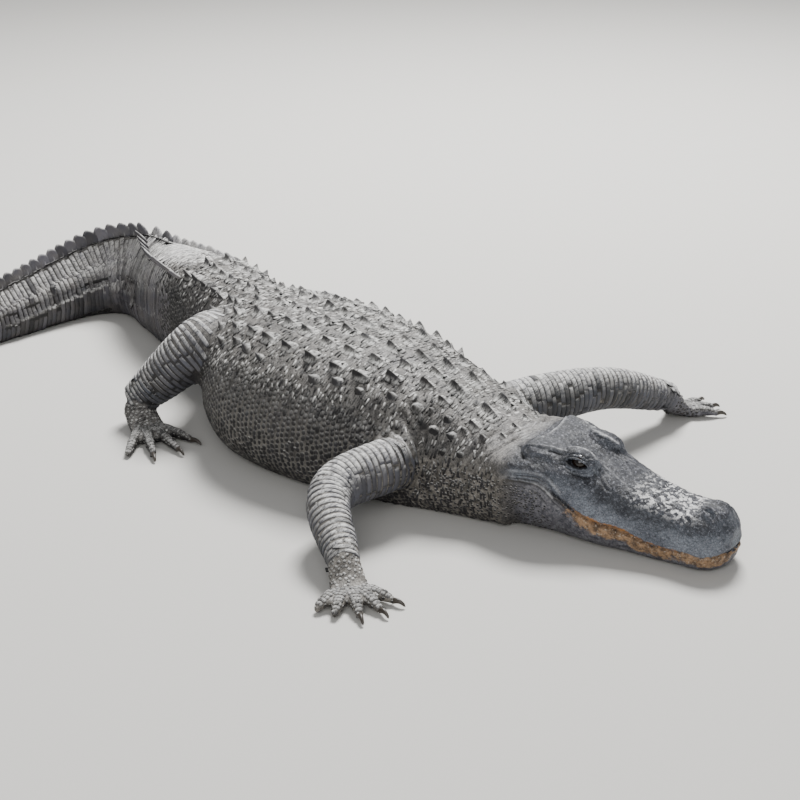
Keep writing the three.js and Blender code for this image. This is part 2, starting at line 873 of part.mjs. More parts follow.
function napeScutes(from, to) {
  return NAPE_SCUTES.filter(([s]) => s > from && s < to).flatMap(([s, arc, length, width, keel]) =>
    [1, -1].map((side) => ({ s, arc: side * arc + vary(2), length, width, keel, root: 9 })),
  );
}

// Upright plates of the crest: pairs as far as the merge, then a single row to the tip
function crestPlates(from, to) {
  const plates = [];
  for (let s = CREST_FIRST; s < CREST_LAST; s += crestPitch(s)) {
    const length = CREST_OVERLAP * crestPitch(s);
    if (s - length / 2 < from || s + length * CREST_SWEEP > to) continue;
    const keel = crestHeight(s) + vary(1.5);
    const plate = { s, length, keel, sweep: CREST_SWEEP, nose: CREST_NOSE, roof: true };
    plate.width = Math.min(CREST_THICKNESS, 0.5 * halfAt(s));
    plate.root = Math.min(CREST_ROOT, 0.4 * backAt(s));
    if (s < CREST_MERGE) {
      [1, -1].forEach((side) => plates.push({ ...plate, arc: side * crestSide(s), lift: CREST_LIFT }));
    } else {
      plates.push({ ...plate, arc: 0 });
    }
  }
  return plates;
}

function formsOf(from, to) {
  if (to <= CUT_NECK) return napeScutes(from, to);
  if (to <= CUT_PELVIS) return [...napeScutes(from, to), ...backScutes(from, to)];
  return crestPlates(from, to);
}

// Lengths of the body: name, where it starts and ends, spacing of its rings, points in a ring
const BODY_PARTS = [
  ["neck", HEAD_END, CUT_NECK, 36, 30],
  ["torso_front", CUT_NECK, CUT_CHEST, 43, 32],
  ["torso_rear", CUT_CHEST, CUT_BELLY, 43, 32],
  ["pelvis", CUT_BELLY, CUT_PELVIS, 45, 30],
  ["tail_base", CUT_PELVIS, CUT_TAIL_1, 45, 26],
  ["tail_bend", CUT_TAIL_1, CUT_TAIL_2, 30, 22],
  ["tail_rear", CUT_TAIL_2, CUT_TAIL_3, 48, 20],
  ["tail_tip", CUT_TAIL_3, TOTAL_LENGTH, 66, 16],
];

const REACHED_BY_LIMBS = 5;

// The limbs, cut to the trunk where they leave it and to each other at the elbow, knee and wrist
function makeLimbs() {
  const reached = BODY_PARTS.slice(0, REACHED_BY_LIMBS);
  const trunk = unite(reached.map(([, from, to, step, count]) => bodyLength(from, to, step, count, GAP)));
  Object.entries(LIMBS).forEach(([name, limb]) => {
    const curve = limbCurve(limb.joints);
    const girth = smoothTable(limb.girth);
    const flat = (t) => girth(t) * LIMB_FLATNESS;
    const split = 2 / 3;
    const [kind, side] = name.split("_");
    const upper = kind === "arm" ? "upper_arm" : "thigh";
    const lower = kind === "arm" ? "forearm" : "shank";
    const paw = kind === "arm" ? "hand" : "foot";
    const upperGrown = limbLength(curve, 0, split, flat, girth, 8, GAP);
    const lowerSolid = limbLength(curve, split, 1, flat, girth, 7).subtract(trunk).subtract(upperGrown);
    addNode(`${upper}_${side}`, largest(limbLength(curve, 0, split, flat, girth, 8).subtract(trunk)), HIDE);
    addNode(`${lower}_${side}`, largest(lowerSolid), HIDE);
    const cutter = limbLength(curve, 0.75, 1.0, flat, girth, 6, GAP);
    const solid = makePaw(`${paw}_${side}`, curve, flat(1), girth(1), limb, side === "left" ? 1 : -1);
    addNode(`${paw}_${side}`, largest(solid.subtract(cutter)), HIDE);
  });
}

makeHead();
BODY_PARTS.forEach(([name, from, to, step, count]) => {
  const forms = formsOf(from, to).map(scute);
  const solid = unite([bodyLength(from, to, step, count), ...forms]);
  addNode(name, largest(solid), name.startsWith("tail") ? CREST : HIDE);
});
makeLimbs();

export default root;
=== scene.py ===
# Adult american alligator as a still, life-size model, lying on a pale studio floor.
# Shapes are worked out in millimetres and turned to metres where each mesh is made.
import json
import math
from functools import partial

import bpy
import numpy as np
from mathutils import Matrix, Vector
from mathutils.bvhtree import BVHTree
from mathutils.kdtree import KDTree

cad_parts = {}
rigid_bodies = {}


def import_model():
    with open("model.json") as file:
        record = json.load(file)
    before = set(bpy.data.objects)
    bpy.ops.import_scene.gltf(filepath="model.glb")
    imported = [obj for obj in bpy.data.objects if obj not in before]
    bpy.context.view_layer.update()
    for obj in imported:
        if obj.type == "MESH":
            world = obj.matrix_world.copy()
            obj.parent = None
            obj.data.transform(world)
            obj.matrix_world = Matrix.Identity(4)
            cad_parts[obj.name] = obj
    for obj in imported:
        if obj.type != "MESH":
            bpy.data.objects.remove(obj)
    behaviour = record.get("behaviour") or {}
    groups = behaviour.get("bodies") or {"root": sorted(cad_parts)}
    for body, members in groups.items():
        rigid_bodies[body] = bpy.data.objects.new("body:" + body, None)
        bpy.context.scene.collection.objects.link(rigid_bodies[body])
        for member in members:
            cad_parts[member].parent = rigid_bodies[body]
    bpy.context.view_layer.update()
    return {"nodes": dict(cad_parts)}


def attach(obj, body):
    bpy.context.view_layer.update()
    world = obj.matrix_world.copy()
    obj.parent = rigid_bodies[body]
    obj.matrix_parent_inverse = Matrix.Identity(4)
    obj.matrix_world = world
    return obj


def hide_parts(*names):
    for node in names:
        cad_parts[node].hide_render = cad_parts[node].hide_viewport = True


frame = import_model()

MM = 0.001
SEED = 20261
random = np.random.default_rng(SEED)

# The photograph's viewpoint: lens on a 36 mm wide sensor, place, and how far it looks down and round
CAMERA_LENS = 72
CAMERA_SENSOR = 36
CAMERA_PLACE = (2.459, -1.955, 1.461)
CAMERA_PITCH = 23
CAMERA_TURN = 50

# The body, by distance from the snout tip
TOTAL_LENGTH = 3100
HEAD_END = 445
ORIGIN_STATION = 870
SPINE_STEP = 5
SPINE_HEADINGS = [
    (0, 15), (600, 15), (800, 13), (900, 7), (1060, -4), (1300, -14), (1480, -13), (1600, -5),
    (1880, -7), (1950, 6), (2030, 42), (2110, 78), (2200, 97), (2400, 101), (2700, 84), (3100, 70),
]
# Station, half width, back height and height of the widest point
BODY_STATIONS = [
    (445, 140, 174, 84), (520, 146, 198, 80), (640, 178, 246, 84), (800, 226, 286, 92),
    (1000, 250, 302, 98), (1140, 210, 292, 98), (1280, 138, 276, 100), (1400, 116, 260, 104),
    (1620, 114, 242, 96), (1800, 98, 230, 86), (2000, 74, 210, 74), (2200, 56, 172, 62),
    (2500, 36, 118, 46), (2800, 19, 68, 28), (3100, 5, 18, 8),
]
# How square the back's cross-section is, and how much it narrows to the tail's crest
BACK_POWER = [
    (445, 2.3), (800, 2.4), (1080, 2.15), (1280, 2.1), (1560, 3.2), (1700, 3.2), (2000, 2.0), (3100, 2.0),
]
BACK_PINCH = [(445, 0), (1450, 0), (1700, 0.12), (1950, 0.62), (2050, 0.8), (3100, 0.7)]
BELLY_POWER = 2.5
TRUNK_POWER = 2.4
BELLY_PRESS = 34

# The head: how far back its tip is rounded, and station, half width, top height and mouth height
SNOUT_ROUND = 66
SNOUT_POWER = 2.3
HEAD_STATIONS = [
    (0, 73, 104, 44), (40, 76, 110, 38), (70, 77, 111, 42), (105, 76, 112, 38), (150, 80, 118, 42),
    (200, 88, 128, 58), (240, 97, 142, 62), (283, 106, 155, 78), (320, 116, 168, 106),
    (370, 128, 174, 131), (411, 136, 174, 128), (445, 141, 172, 120),
]
HEAD_POWER = 2.8
JAW_POWER = 2.6
JAW_PRESS = 8
JAW_SHARES = [(0, 0.9), (60, 0.92), (150, 1.0), (240, 1.03), (330, 1.0), (445, 1.0)]
# Skull table: station, half width and height of its rim
TABLE_RINGS = [(334, 64, 174), (352, 70, 180), (380, 82, 184), (400, 88, 185), (412, 92, 185)]
TABLE_BASE = 140
TABLE_HOLLOW = 3
EYE = (303, 58, 160)
EYE_RADIUS = 16.5
# Half length of the opening between the lids, and how far it opens up and down
EYE_OPENING = (21, 6.4, 5.0)
LID = (312, 50, 150)
LID_RADII = (50, 29, 33)
LID_TILT = 9
NOSE = (52, 0, 97)
NOSE_RADII = (41, 46, 22)
NOSTRIL = (43, 27, 113)
NOSTRIL_RADII = (10, 5)
NOSTRIL_TURN = 30
EAR = (374, 90, 166)
EAR_RADII = (40, 9, 10)
EAR_TOE_OUT = 14

# Limbs: joints from the root inside the body to the wrist or ankle, girths, and where the toes point
LIMBS = {
    "arm_right": {
        "joints": [(238, 20, 120), (262, -120, 116), (270, -290, 100), (420, -378, 44)],
        "girth": [(0, 60), (0.33, 58), (0.66, 52), (0.85, 46), (1, 36)],
        "toes_point": -26, "front": True,
    },
    "arm_left": {
        "joints": [(212, 130, 120), (254, 280, 133), (290, 440, 130), (306, 640, 62)],
        "girth": [(0, 62), (0.33, 58), (0.66, 48), (0.85, 42), (1, 34)],
        "toes_point": 98, "front": True,
    },
    "leg_right": {
        "joints": [(-640, 60, 112), (-480, -8, 132), (-368, -154, 184), (-466, -278, 52)],
        "girth": [(0, 84), (0.33, 76), (0.66, 70), (0.85, 55), (1, 39)],
        "toes_point": -14, "front": False,
    },
    "leg_left": {
        "joints": [(-640, 130, 115), (-560, 190, 112), (-500, 275, 106), (-596, 412, 52)],
        "girth": [(0, 84), (0.33, 82), (0.66, 70), (0.85, 58), (1, 41)],
        "toes_point": 22, "front": False,
    },
}
LIMB_FLATNESS = 0.86
HAND = {
    "length": 70, "half": 40,
    "toes": [(-46, 50, True), (-22, 62, True), (0, 66, True), (24, 60, False), (48, 48, False)],
}
FOOT = {
    "length": 104, "half": 43,
    "toes": [(-30, 84, True), (-10, 104, True), (10, 108, True), (30, 98, False)],
}
TOE_HEIGHT = 14
TOE_BASE = 0.72
TOE_FAN = 84
PALM_LEAN = 0.35
WEB_HAND = 0.3
WEB_FOOT = 0.62
LIMB_SIDES = 28
CLAW_LENGTHS = {"hand": 22, "foot": 26}
CLAW_LEVELS = 8

# How far the skin lies inside the outline: bare on the skull, deeper under the scales
SKIN_DEPTH = [(0, 0.4), (330, 0.4), (470, 1.8), (3100, 1.6)]
FLOOR_CLEAR = 0.8


def smooth_table(rows, column=1):
    """A smooth curve without overshoot through rows of (station, value, ...)."""
    rows = np.array(rows, float)
    xs, ys = rows[:, 0], rows[:, column]
    slopes = np.diff(ys) / np.diff(xs)
    before, after = slopes[:-1], slopes[1:]
    rising = before * after > 0
    middle = np.where(rising, 2 * before * after / np.where(rising, before + after, 1), 0)
    tangents = np.concatenate([slopes[:1], middle, slopes[-1:]])

    def value(x):
        """The curve at x, level beyond its ends."""
        t = np.clip(x, xs[0], xs[-1])
        i = np.clip(np.searchsorted(xs, t) - 1, 0, len(xs) - 2)
        width = xs[i + 1] - xs[i]
        u = (t - xs[i]) / width
        rise = ys[i + 1] - ys[i]
        bend = (1 - u) * (tangents[i] * width - rise) - u * (tangents[i + 1] * width - rise)
        return ys[i] + u * rise + u * (1 - u) * bend

    return value


heading_at = smooth_table(SPINE_HEADINGS)
half_at = smooth_table(BODY_STATIONS, 1)
back_at = smooth_table(BODY_STATIONS, 2)
widest_at = smooth_table(BODY_STATIONS, 3)
back_power_at = smooth_table(BACK_POWER)
pinch_at = smooth_table(BACK_PINCH)
head_half_at = smooth_table(HEAD_STATIONS, 1)
head_top_at = smooth_table(HEAD_STATIONS, 2)
mouth_at = smooth_table(HEAD_STATIONS, 3)
jaw_share = smooth_table(JAW_SHARES)
skin_depth = smooth_table(SKIN_DEPTH)

spine_stations = np.arange(0, TOTAL_LENGTH + 2 * SPINE_STEP, SPINE_STEP)
steps = np.radians(heading_at(spine_stations + SPINE_STEP / 2))
spine_x = -np.concatenate([[0], np.cumsum(SPINE_STEP * np.cos(steps))[:-1]])
spine_y = -np.concatenate([[0], np.cumsum(SPINE_STEP * np.sin(steps))[:-1]])
spine_x -= spine_x[ORIGIN_STATION // SPINE_STEP]
spine_y -= spine_y[ORIGIN_STATION // SPINE_STEP]


def place(s, side, height):
    """A point at a distance s from the snout, out to the left by side and up by height."""
    s, side, height = np.broadcast_arrays(np.asarray(s, float), side, height)
    heading = np.radians(heading_at(s))
    x = np.interp(s, spine_stations, spine_x) - side * np.sin(heading)
    y = np.interp(s, spine_stations, spine_y) + side * np.cos(heading)
    return np.stack([x, y, height], axis=-1)


def power(base, exponent):
    """A power that keeps the sign of its base."""
    return np.sign(base) * np.abs(base) ** exponent


def body_point(s, angle, grow=0.0):
    """A point of the body's cross-section: the angle is 0 at the left flank and 90 on the back."""
    s, angle = np.broadcast_arrays(np.asarray(s, float), angle)
    c, k = np.cos(angle), np.sin(angle)
    mid = widest_at(s)
    up = k >= 0
    exponent = 2 / np.where(up, back_power_at(s), BELLY_POWER)
    press = BELLY_PRESS * np.minimum(1, half_at(s) / 150)
    reach = np.where(up, back_at(s) + grow - mid, mid + press + grow)
    rise = power(k, exponent)
    pinch = np.where(up, 1 - pinch_at(s) * np.abs(rise) ** 1.5, 1)
    side = (half_at(s) + grow) * power(c, exponent) * pinch
    return place(s, side, np.maximum(mid + reach * rise, FLOOR_CLEAR))


def snout_round(s, exponent=SNOUT_POWER):
    """The share of its full size that the snout has at s: 0 at its tip."""
    u = np.clip((SNOUT_ROUND - s) / SNOUT_ROUND, 0, 1)
    return (1 - u ** exponent) ** (1 / exponent)


def fade(value, zero_at, one_at):
    """0 at one value and before it, 1 at the other and past it, even between."""
    return np.clip((value - zero_at) / (one_at - zero_at), 0, 1)


def unit(vectors):
    """Vectors drawn to length one."""
    return vectors / np.maximum(np.linalg.norm(vectors, axis=-1, keepdims=True), 1e-9)


# Meshes as (points in millimetres, faces)

def loft(rings):
    """A closed solid through rings of points, each with the same number of points."""
    count = len(rings[0])
    points = [point for ring in rings for point in ring]
    faces = []
    for r in range(len(rings) - 1):
        for i in range(count):
            a, b = r * count + i, r * count + (i + 1) % count
            faces.append((a, b, b + count, a + count))
    faces.append(tuple(reversed(range(count))))
    faces.append(tuple(range((len(rings) - 1) * count, len(rings) * count)))
    return np.array(points), faces


def ellipsoid(centre, radii, heading=0.0, tilt=0.0, count=24):
    """A ball stretched to its radii, tipped nose down by tilt and turned to its heading."""
    rings = []
    for i in range(1, count):
        polar = math.pi * i / count
        turn = np.linspace(0, 2 * math.pi, count, endpoint=False)
        ring = np.stack([
            np.full(count, math.cos(polar)),
            math.sin(polar) * np.cos(turn),
            math.sin(polar) * np.sin(turn),
        ], axis=-1)
        rings.append(ring * radii)
    points, faces = loft(rings)
    t, h = math.radians(tilt), math.radians(heading)
    x = points[:, 0] * math.cos(t) + points[:, 2] * math.sin(t)
    z = points[:, 2] * math.cos(t) - points[:, 0] * math.sin(t)
    turned = np.stack([
        x * math.cos(h) - points[:, 1] * math.sin(h),
        x * math.sin(h) + points[:, 1] * math.cos(h),
        z,
    ], axis=-1)
    return turned + centre, faces


def trunk_form():
    """Neck, trunk and tail as one solid."""
    stations = np.concatenate([np.arange(428, 3090, 12.0), [3090, 3096]])
    angles = np.linspace(0, 2 * math.pi, 96, endpoint=False)
    return loft([body_point(s, angles, -skin_depth(s)) for s in stations])


def head_ring(s, count=40):
    """One closed ring of the head: over the snout from left to right, back under the jaw."""
    angles = np.linspace(0, math.pi, count + 1)
    c, k = np.cos(angles), np.sin(angles)
    half = head_half_at(s) * snout_round(s) - skin_depth(s)
    mouth = mouth_at(s)
    top = mouth + (head_top_at(s) - skin_depth(s) - mouth) * snout_round(s + 8, 2.6)
    over = place(s, half * power(c, 2 / HEAD_POWER), mouth + (top - mouth) * k ** (2 / HEAD_POWER))
    chin = mouth * (1 - snout_round(s, 2.2))
    low = mouth - (mouth - chin + JAW_PRESS) * k ** (2 / JAW_POWER)
    wide = half * jaw_share(s)
    under = place(s, wide * power(c, 2 / JAW_POWER), np.maximum(low, FLOOR_CLEAR))
    return np.concatenate([over, under[1:-1][::-1]])


def head_form():
    """Skull, snout and jaw as one solid, with closer rings at the tip."""
    stations = [2, 5, 10, 17, 26, 37, 50] + list(range(64, 470, 12)) + [476]
    return loft([head_ring(s) for s in stations])


def table_form():
    """The skull table, hollowed a little, with its rear edge swept forward in the middle."""
    rings = []
    across = np.concatenate([[-1, -1], np.linspace(-0.96, 0.96, 17), [1, 1]])
    for s, half, top in TABLE_RINGS:
        heights = np.full(len(across), top - 0.4)
        heights[[0, -1]] = TABLE_BASE
        heights[[1, -2]] = top - 6
        heights[2:-2] -= TABLE_HOLLOW * (1 - np.linspace(-1, 1, 17) ** 2)
        sweep = 20 * (1 - across ** 2) * (s - TABLE_RINGS[0][0]) / (TABLE_RINGS[-1][0] - TABLE_RINGS[0][0])
        rings.append(place(s - sweep, across * half, heights))
    return loft(rings)


# Limbs

def limb_point(limb, t):
    """A point of the smooth curve through a limb's joints."""
    joints = np.array(limb["joints"], float)
    joints = np.vstack([2 * joints[0] - joints[1], joints, 2 * joints[-1] - joints[-2]])
    t = np.clip(np.atleast_1d(t), 0, 1) * 3
    i = np.minimum(t.astype(int), 2)
    u = (t - i)[:, None]
    p0, p1, p2, p3 = (joints[i + k] for k in range(4))
    gaps = ((p0, p1), (p1, p2), (p2, p3))
    d0, d1, d2 = (np.linalg.norm(b - a, axis=1)[:, None] ** 0.5 for a, b in gaps)
    t1 = ((p1 - p0) / d0 - (p2 - p0) / (d0 + d1) + (p2 - p1) / d1) * d1
    t2 = ((p2 - p1) / d1 - (p3 - p1) / (d1 + d2) + (p3 - p2) / d2) * d1
    c2, c3 = -3 * p1 + 3 * p2 - 2 * t1 - t2, 2 * p1 - 2 * p2 + t1 + t2
    return p1 + t1 * u + c2 * u * u + c3 * u ** 3


def limb_frame(limb, t):
    """The centre, direction, side and top directions of a limb at t."""
    t = np.atleast_1d(t).astype(float)
    along = unit(limb_point(limb, t + 1e-3) - limb_point(limb, t - 1e-3))
    side = unit(np.cross(along, (0, 0, 1)))
    return limb_point(limb, t), along, side, np.cross(side, along)


def limb_surface(limb, t, angle, grow=0.0):
    """A point on a limb's skin, at t along it and an angle round it."""
    t, angle = np.broadcast_arrays(np.atleast_1d(t).astype(float), angle)
    centre, _, side, over = limb_frame(limb, t)
    girth = smooth_table(limb["girth"])(t)[:, None] + grow
    c, k = np.cos(angle)[:, None], np.sin(angle)[:, None]
    point = centre + side * girth * LIMB_FLATNESS * c + over * girth * k
    point[:, 2] = np.maximum(point[:, 2], FLOOR_CLEAR)
    return point


def ground(degrees):
    """A level direction, turned from +X to the left."""
    return np.array([math.cos(math.radians(degrees)), math.sin(math.radians(degrees)), 0])


def toe_lines(name, limb):
    """Each toe's root, direction, length and whether it has a claw."""
    paw = HAND if limb["front"] else FOOT
    outer = 1 if name.endswith("left") else -1
    wrist = limb_point(limb, 1)[0]
    right = ground(limb["toes_point"] - 90)
    base = wrist + ground(limb["toes_point"]) * paw["length"] * TOE_BASE
    base[2] = 0
    lines = []
    for angle, length, clawed in paw["toes"]:
        root = base - right * outer * angle / TOE_FAN * paw["half"]
        lines.append((root, ground(limb["toes_point"] + outer * angle), length, clawed))
    return lines


def toe_reach(limb, length):
    """A toe's length from its root inside the palm."""
    return length + (HAND if limb["front"] else FOOT)["length"] * (1 - TOE_BASE)


def toe_height(u):
    """The height of a toe's middle line at a share of its length."""
    return 12 + 5 * np.sin(u * math.pi) - 3 * u


def limb_forms(name, limb):
    """The limb, its palm, toes with knuckles, and webs, as closed forms to be merged."""
    turn = np.linspace(0, 2 * math.pi, LIMB_SIDES, endpoint=False)
    forms = [loft([limb_surface(limb, t, turn, -1.8) for t in np.linspace(0, 1, 34)])]
    paw = HAND if limb["front"] else FOOT
    wrist = limb_point(limb, 1)[0]
    forward, right = ground(limb["toes_point"]), ground(limb["toes_point"] - 90)
    tall_end = limb["girth"][-1][1] - 1.5
    wide_end = tall_end * LIMB_FLATNESS
    rings = [limb_surface(limb, 0.94, turn, -3), limb_surface(limb, 0.999, turn, -2)]
    for u in np.linspace(0.15, 1, 8):
        centre = wrist + forward * u * paw["length"]
        centre[2] = (wrist[2] - TOE_HEIGHT) * (1 - u) ** 1.7 + TOE_HEIGHT - 1
        wide = wide_end + (paw["half"] - 1 - wide_end) * u
        tall = tall_end + (TOE_HEIGHT - 1.5 - tall_end) * min(1, 1.2 * u)
        lean = (1 - u) * PALM_LEAN
        ring = centre + right * wide * np.cos(turn)[:, None]
        ring = ring + forward * lean * tall * np.sin(turn)[:, None]
        ring[:, 2] = np.maximum(ring[:, 2] + tall * np.sin(turn), FLOOR_CLEAR)
        rings.append(ring)
    forms.append(loft(rings))
    lines = toe_lines(name, limb)
    for root, ahead, length, clawed in lines:
        across = np.array([-ahead[1], ahead[0], 0])
        toe = []
        for u in np.linspace(0, 1, 12):
            knuckles = 1.2 * math.cos(u * 3 * 2 * math.pi)
            girth = np.interp(u, (0, 0.33, 0.66, 0.93, 1), (12, 12.5, 10.5, 8.5, 6 if clawed else 4))
            girth += knuckles
            ring = root + ahead * u * toe_reach(limb, length) + across * girth * np.cos(turn)[:, None]
            ring[:, 2] = np.maximum(toe_height(u) + girth * np.sin(turn), FLOOR_CLEAR)
            toe.append(ring)
        forms.append(loft(toe))
    share = WEB_HAND if limb["front"] else WEB_FOOT
    for (root_a, ahead_a, length_a, _), (root_b, ahead_b, length_b, _) in zip(lines, lines[1:]):
        corners = [root_a, root_a + ahead_a * share * length_a, root_b + ahead_b * share * length_b, root_b]
        forms.append(loft([np.array(corners) + (0, 0, z) for z in (1.5, 10.5)]))
    return forms


# Making Blender objects

def deselect():
    """Leaves nothing selected."""
    bpy.ops.object.select_all(action="DESELECT")


def make_object(name, points, faces):
    """An object from points in millimetres and faces."""
    mesh = bpy.data.meshes.new(name)
    mesh.from_pydata((np.asarray(points) * MM).tolist(), [], [list(map(int, face)) for face in faces])
    mesh.update()
    obj = bpy.data.objects.new(name, mesh)
    bpy.context.scene.collection.objects.link(obj)
    return obj


def make_active(obj):
    """Leaves one object selected and active."""
    deselect()
    obj.select_set(True)
    bpy.context.view_layer.objects.active = obj


def apply_modifier(obj, kind, **settings):
    """Adds a modifier and applies it."""
    make_active(obj)
    modifier = obj.modifiers.new(kind.title(), kind)
    for key, value in settings.items():
        setattr(modifier, key, value)
    bpy.ops.object.modifier_apply(modifier=modifier.name)


def face_outward(obj):
    """Turns all faces of a closed object outwards."""
    make_active(obj)
    bpy.ops.object.mode_set(mode="EDIT")
    bpy.ops.mesh.select_all(action="SELECT")
    bpy.ops.mesh.normals_make_consistent(inside=False)
    bpy.ops.object.mode_set(mode="OBJECT")


def points_of(obj):
    """An object's points in millimetres."""
    flat = np.empty(3 * len(obj.data.vertices))
    obj.data.vertices.foreach_get("co", flat)
    return flat.reshape(-1, 3) / MM


def normals_of(obj):
    """The directions its points face."""
    flat = np.empty(3 * len(obj.data.vertices))
    obj.data.vertex_normals.foreach_get("vector", flat)
    return flat.reshape(-1, 3)


def move_points(obj, points):
    """Moves an object's points to places in millimetres."""
    obj.data.vertices.foreach_set("co", (points * MM).ravel())
    obj.data.update()


def edges_of(obj):
    """The pairs of points that its edges join."""
    flat = np.empty(2 * len(obj.data.edges), int)
    obj.data.edges.foreach_get("vertices", flat)
    return flat.reshape(-1, 2)


def relax(points, edges, weight, rounds):
    """Draws each point towards the middle of its neighbours by its weight."""
    a, b = edges[:, 0], edges[:, 1]
    valence = np.maximum(np.bincount(edges.ravel(), minlength=len(points)), 1)[:, None]
    for _ in range(rounds):
        total = np.zeros_like(points)
        for column in range(3):
            total[:, column] += np.bincount(a, points[b, column], len(points))
            total[:, column] += np.bincount(b, points[a, column], len(points))
        points = points + (total / valence - points) * weight[:, None]
    return points


# Points charted at a time, which keeps the memory small
CHART_BLOCK = 4000


def spine_chart(points):
    """Station, side and height of each point, by the nearest point of the spine."""
    out = np.empty((len(points), 3))
    for start in range(0, len(points), CHART_BLOCK):
        block = points[start:start + CHART_BLOCK]
        far = (block[:, :1] - spine_x) ** 2 + (block[:, 1:2] - spine_y) ** 2
        i = far.argmin(axis=1)
        heading = np.radians(heading_at(spine_stations[i]))
        dx, dy = block[:, 0] - spine_x[i], block[:, 1] - spine_y[i]
        out[start:start + CHART_BLOCK, 0] = spine_stations[i] - dx * np.cos(heading) - dy * np.sin(heading)
        out[start:start + CHART_BLOCK, 1] = -dx * np.sin(heading) + dy * np.cos(heading)
    out[:, 2] = points[:, 2]
    return out


def limb_chart(points, limb):
    """How far along a limb each point is, its angle round it, and its distance as a share of the girth."""
    ts = np.linspace(0, 1, 61)
    centres, _, sides, overs = limb_frame(limb, ts)
    i = ((points[:, None] - centres) ** 2).sum(axis=2).argmin(axis=1)
    away = points - centres[i]
    u, v = (away * sides[i]).sum(axis=1), (away * overs[i]).sum(axis=1)
    girth = smooth_table(limb["girth"])(ts[i])
    return ts[i], np.arctan2(v, u / LIMB_FLATNESS), np.linalg.norm(away, axis=1) / girth


def beyond_body(chart):
    """How far out of the trunk's section a point is: about 1 on its surface."""
    s = np.maximum(chart[:, 0], HEAD_END)
    mid = widest_at(s)
    reach = np.where(chart[:, 2] > mid, back_at(s) - mid, mid + BELLY_PRESS)
    across, up = np.abs(chart[:, 1] / half_at(s)), np.abs((chart[:, 2] - mid) / reach)
    return (across ** TRUNK_POWER + up ** TRUNK_POWER) ** (1 / TRUNK_POWER)


# Sculpting: a stroke pushes the skin in or out along a line

def distance_to_line(points, line):
    """The distance of each point from a line of points."""
    best = np.full(len(points), 1e9)
    for a, b in zip(line[:-1], line[1:]):
        step = b - a
        t = np.clip(((points - a) @ step) / max(step @ step, 1e-9), 0, 1)
        best = np.minimum(best, np.linalg.norm(points - a - t[:, None] * step, axis=1))
    return best


def smooth_line(knots, per_span=6):
    """A smooth line through a few knots."""
    knots = np.array(knots, float)
    ends = np.vstack([2 * knots[0] - knots[1], knots, 2 * knots[-1] - knots[-2]])
    out = []
    for i in range(1, len(ends) - 2):
        p0, p1, p2, p3 = ends[i - 1:i + 3]
        for u in np.arange(per_span) / per_span:
            curve = 2 * p1 + (p2 - p0) * u + (2 * p0 - 5 * p1 + 4 * p2 - p3) * u ** 2
            out.append((curve + (3 * p1 - p0 - 3 * p2 + p3) * u ** 3) / 2)
    return np.array(out + [knots[-1]])


# Folds of the head as (depth, width, knots of station, side and height), made on both sides
HEAD_STROKES = {
    "mouth_corner": (-7.5, 3.8, [(334, 120, 121), (345, 121, 131), (360, 125, 138), (384, 131, 138),
                                 (408, 136, 135), (432, 140, 128)]),
    "upper_lip_roll": (2.5, 6, [(312, 116, 113), (330, 118, 131), (350, 122, 144), (384, 130, 146),
                                (415, 136, 142)]),
    "under_corner": (-3.4, 3, [(312, 114, 80), (328, 118, 92), (351, 125, 113), (375, 130, 120),
                               (424, 139, 120)]),
    "corner_roll": (3.4, 4, [(328, 118, 103), (350, 124, 122), (375, 131, 128), (410, 137, 127)]),
    "jaw_fold": (-3.2, 3, [(342, 120, 87), (363, 126, 105), (391, 133, 112), (425, 138, 106)]),
    "ear_rear": (-6, 3.4, [(427, 76, 168), (416, 92, 166), (402, 104, 162)]),
    "ear_groove": (-6.5, 3, [(402, 108, 160), (380, 104, 156), (360, 98, 156), (340, 88, 157),
                             (326, 82, 158)]),
    "ear_crease": (-3.2, 2.2, [(390, 98, 163), (370, 94, 161), (350, 88, 162), (336, 82, 163)]),
    "ear_pit": (-5, 4, [(415, 96, 165), (406, 103, 162)]),
    "table_side_groove": (-4, 3, [(405, 84, 175), (380, 78, 175), (355, 72, 172), (336, 68, 168)]),
    "table_rim": (4.4, 3.6, [(338, 62, 175), (356, 68, 181), (382, 79, 185), (402, 86, 186), (412, 90, 185)]),
    "cheek_band": (2, 12, [(420, 128, 150), (374, 124, 147), (330, 106, 146), (296, 94, 140)]),
    "brow_crease_a": (-3.2, 2.2, [(291, 15, 160), (272, 18, 152), (248, 25, 144), (228, 30, 137)]),
    "brow_crease_b": (-2.8, 2, [(284, 26, 160), (262, 28, 152), (238, 35, 143), (214, 38, 135)]),
    "brow_crease_c": (-2.8, 2, [(280, 38, 160), (262, 40, 151), (246, 46, 144)]),
    "brow_crease_d": (-3.4, 2.2, [(277, 50, 158), (262, 52, 150), (248, 58, 140), (236, 64, 132)]),
    "eye_front_crease": (-3.6, 2.3, [(280, 60, 156), (268, 63, 147), (254, 66, 138), (238, 73, 127)]),
    "eye_under_crease": (-3.2, 2.3, [(322, 88, 150), (306, 88, 145), (290, 82, 143), (276, 74, 142)]),
    "brow_ridge": (1.8, 5, [(278, 44, 166), (292, 40, 174), (312, 40, 180), (334, 48, 178)]),
    "temple_crease": (-3.4, 2.3, [(335, 78, 160), (328, 70, 166), (324, 58, 172), (330, 40, 174)]),
    "snout_ridge": (1.6, 7, [(262, 52, 149), (236, 58, 139), (205, 56, 128), (170, 52, 120)]),
    "snout_side_hollow": (-1.6, 14, [(240, 86, 120), (200, 80, 100), (160, 74, 94), (110, 72, 90)]),
}
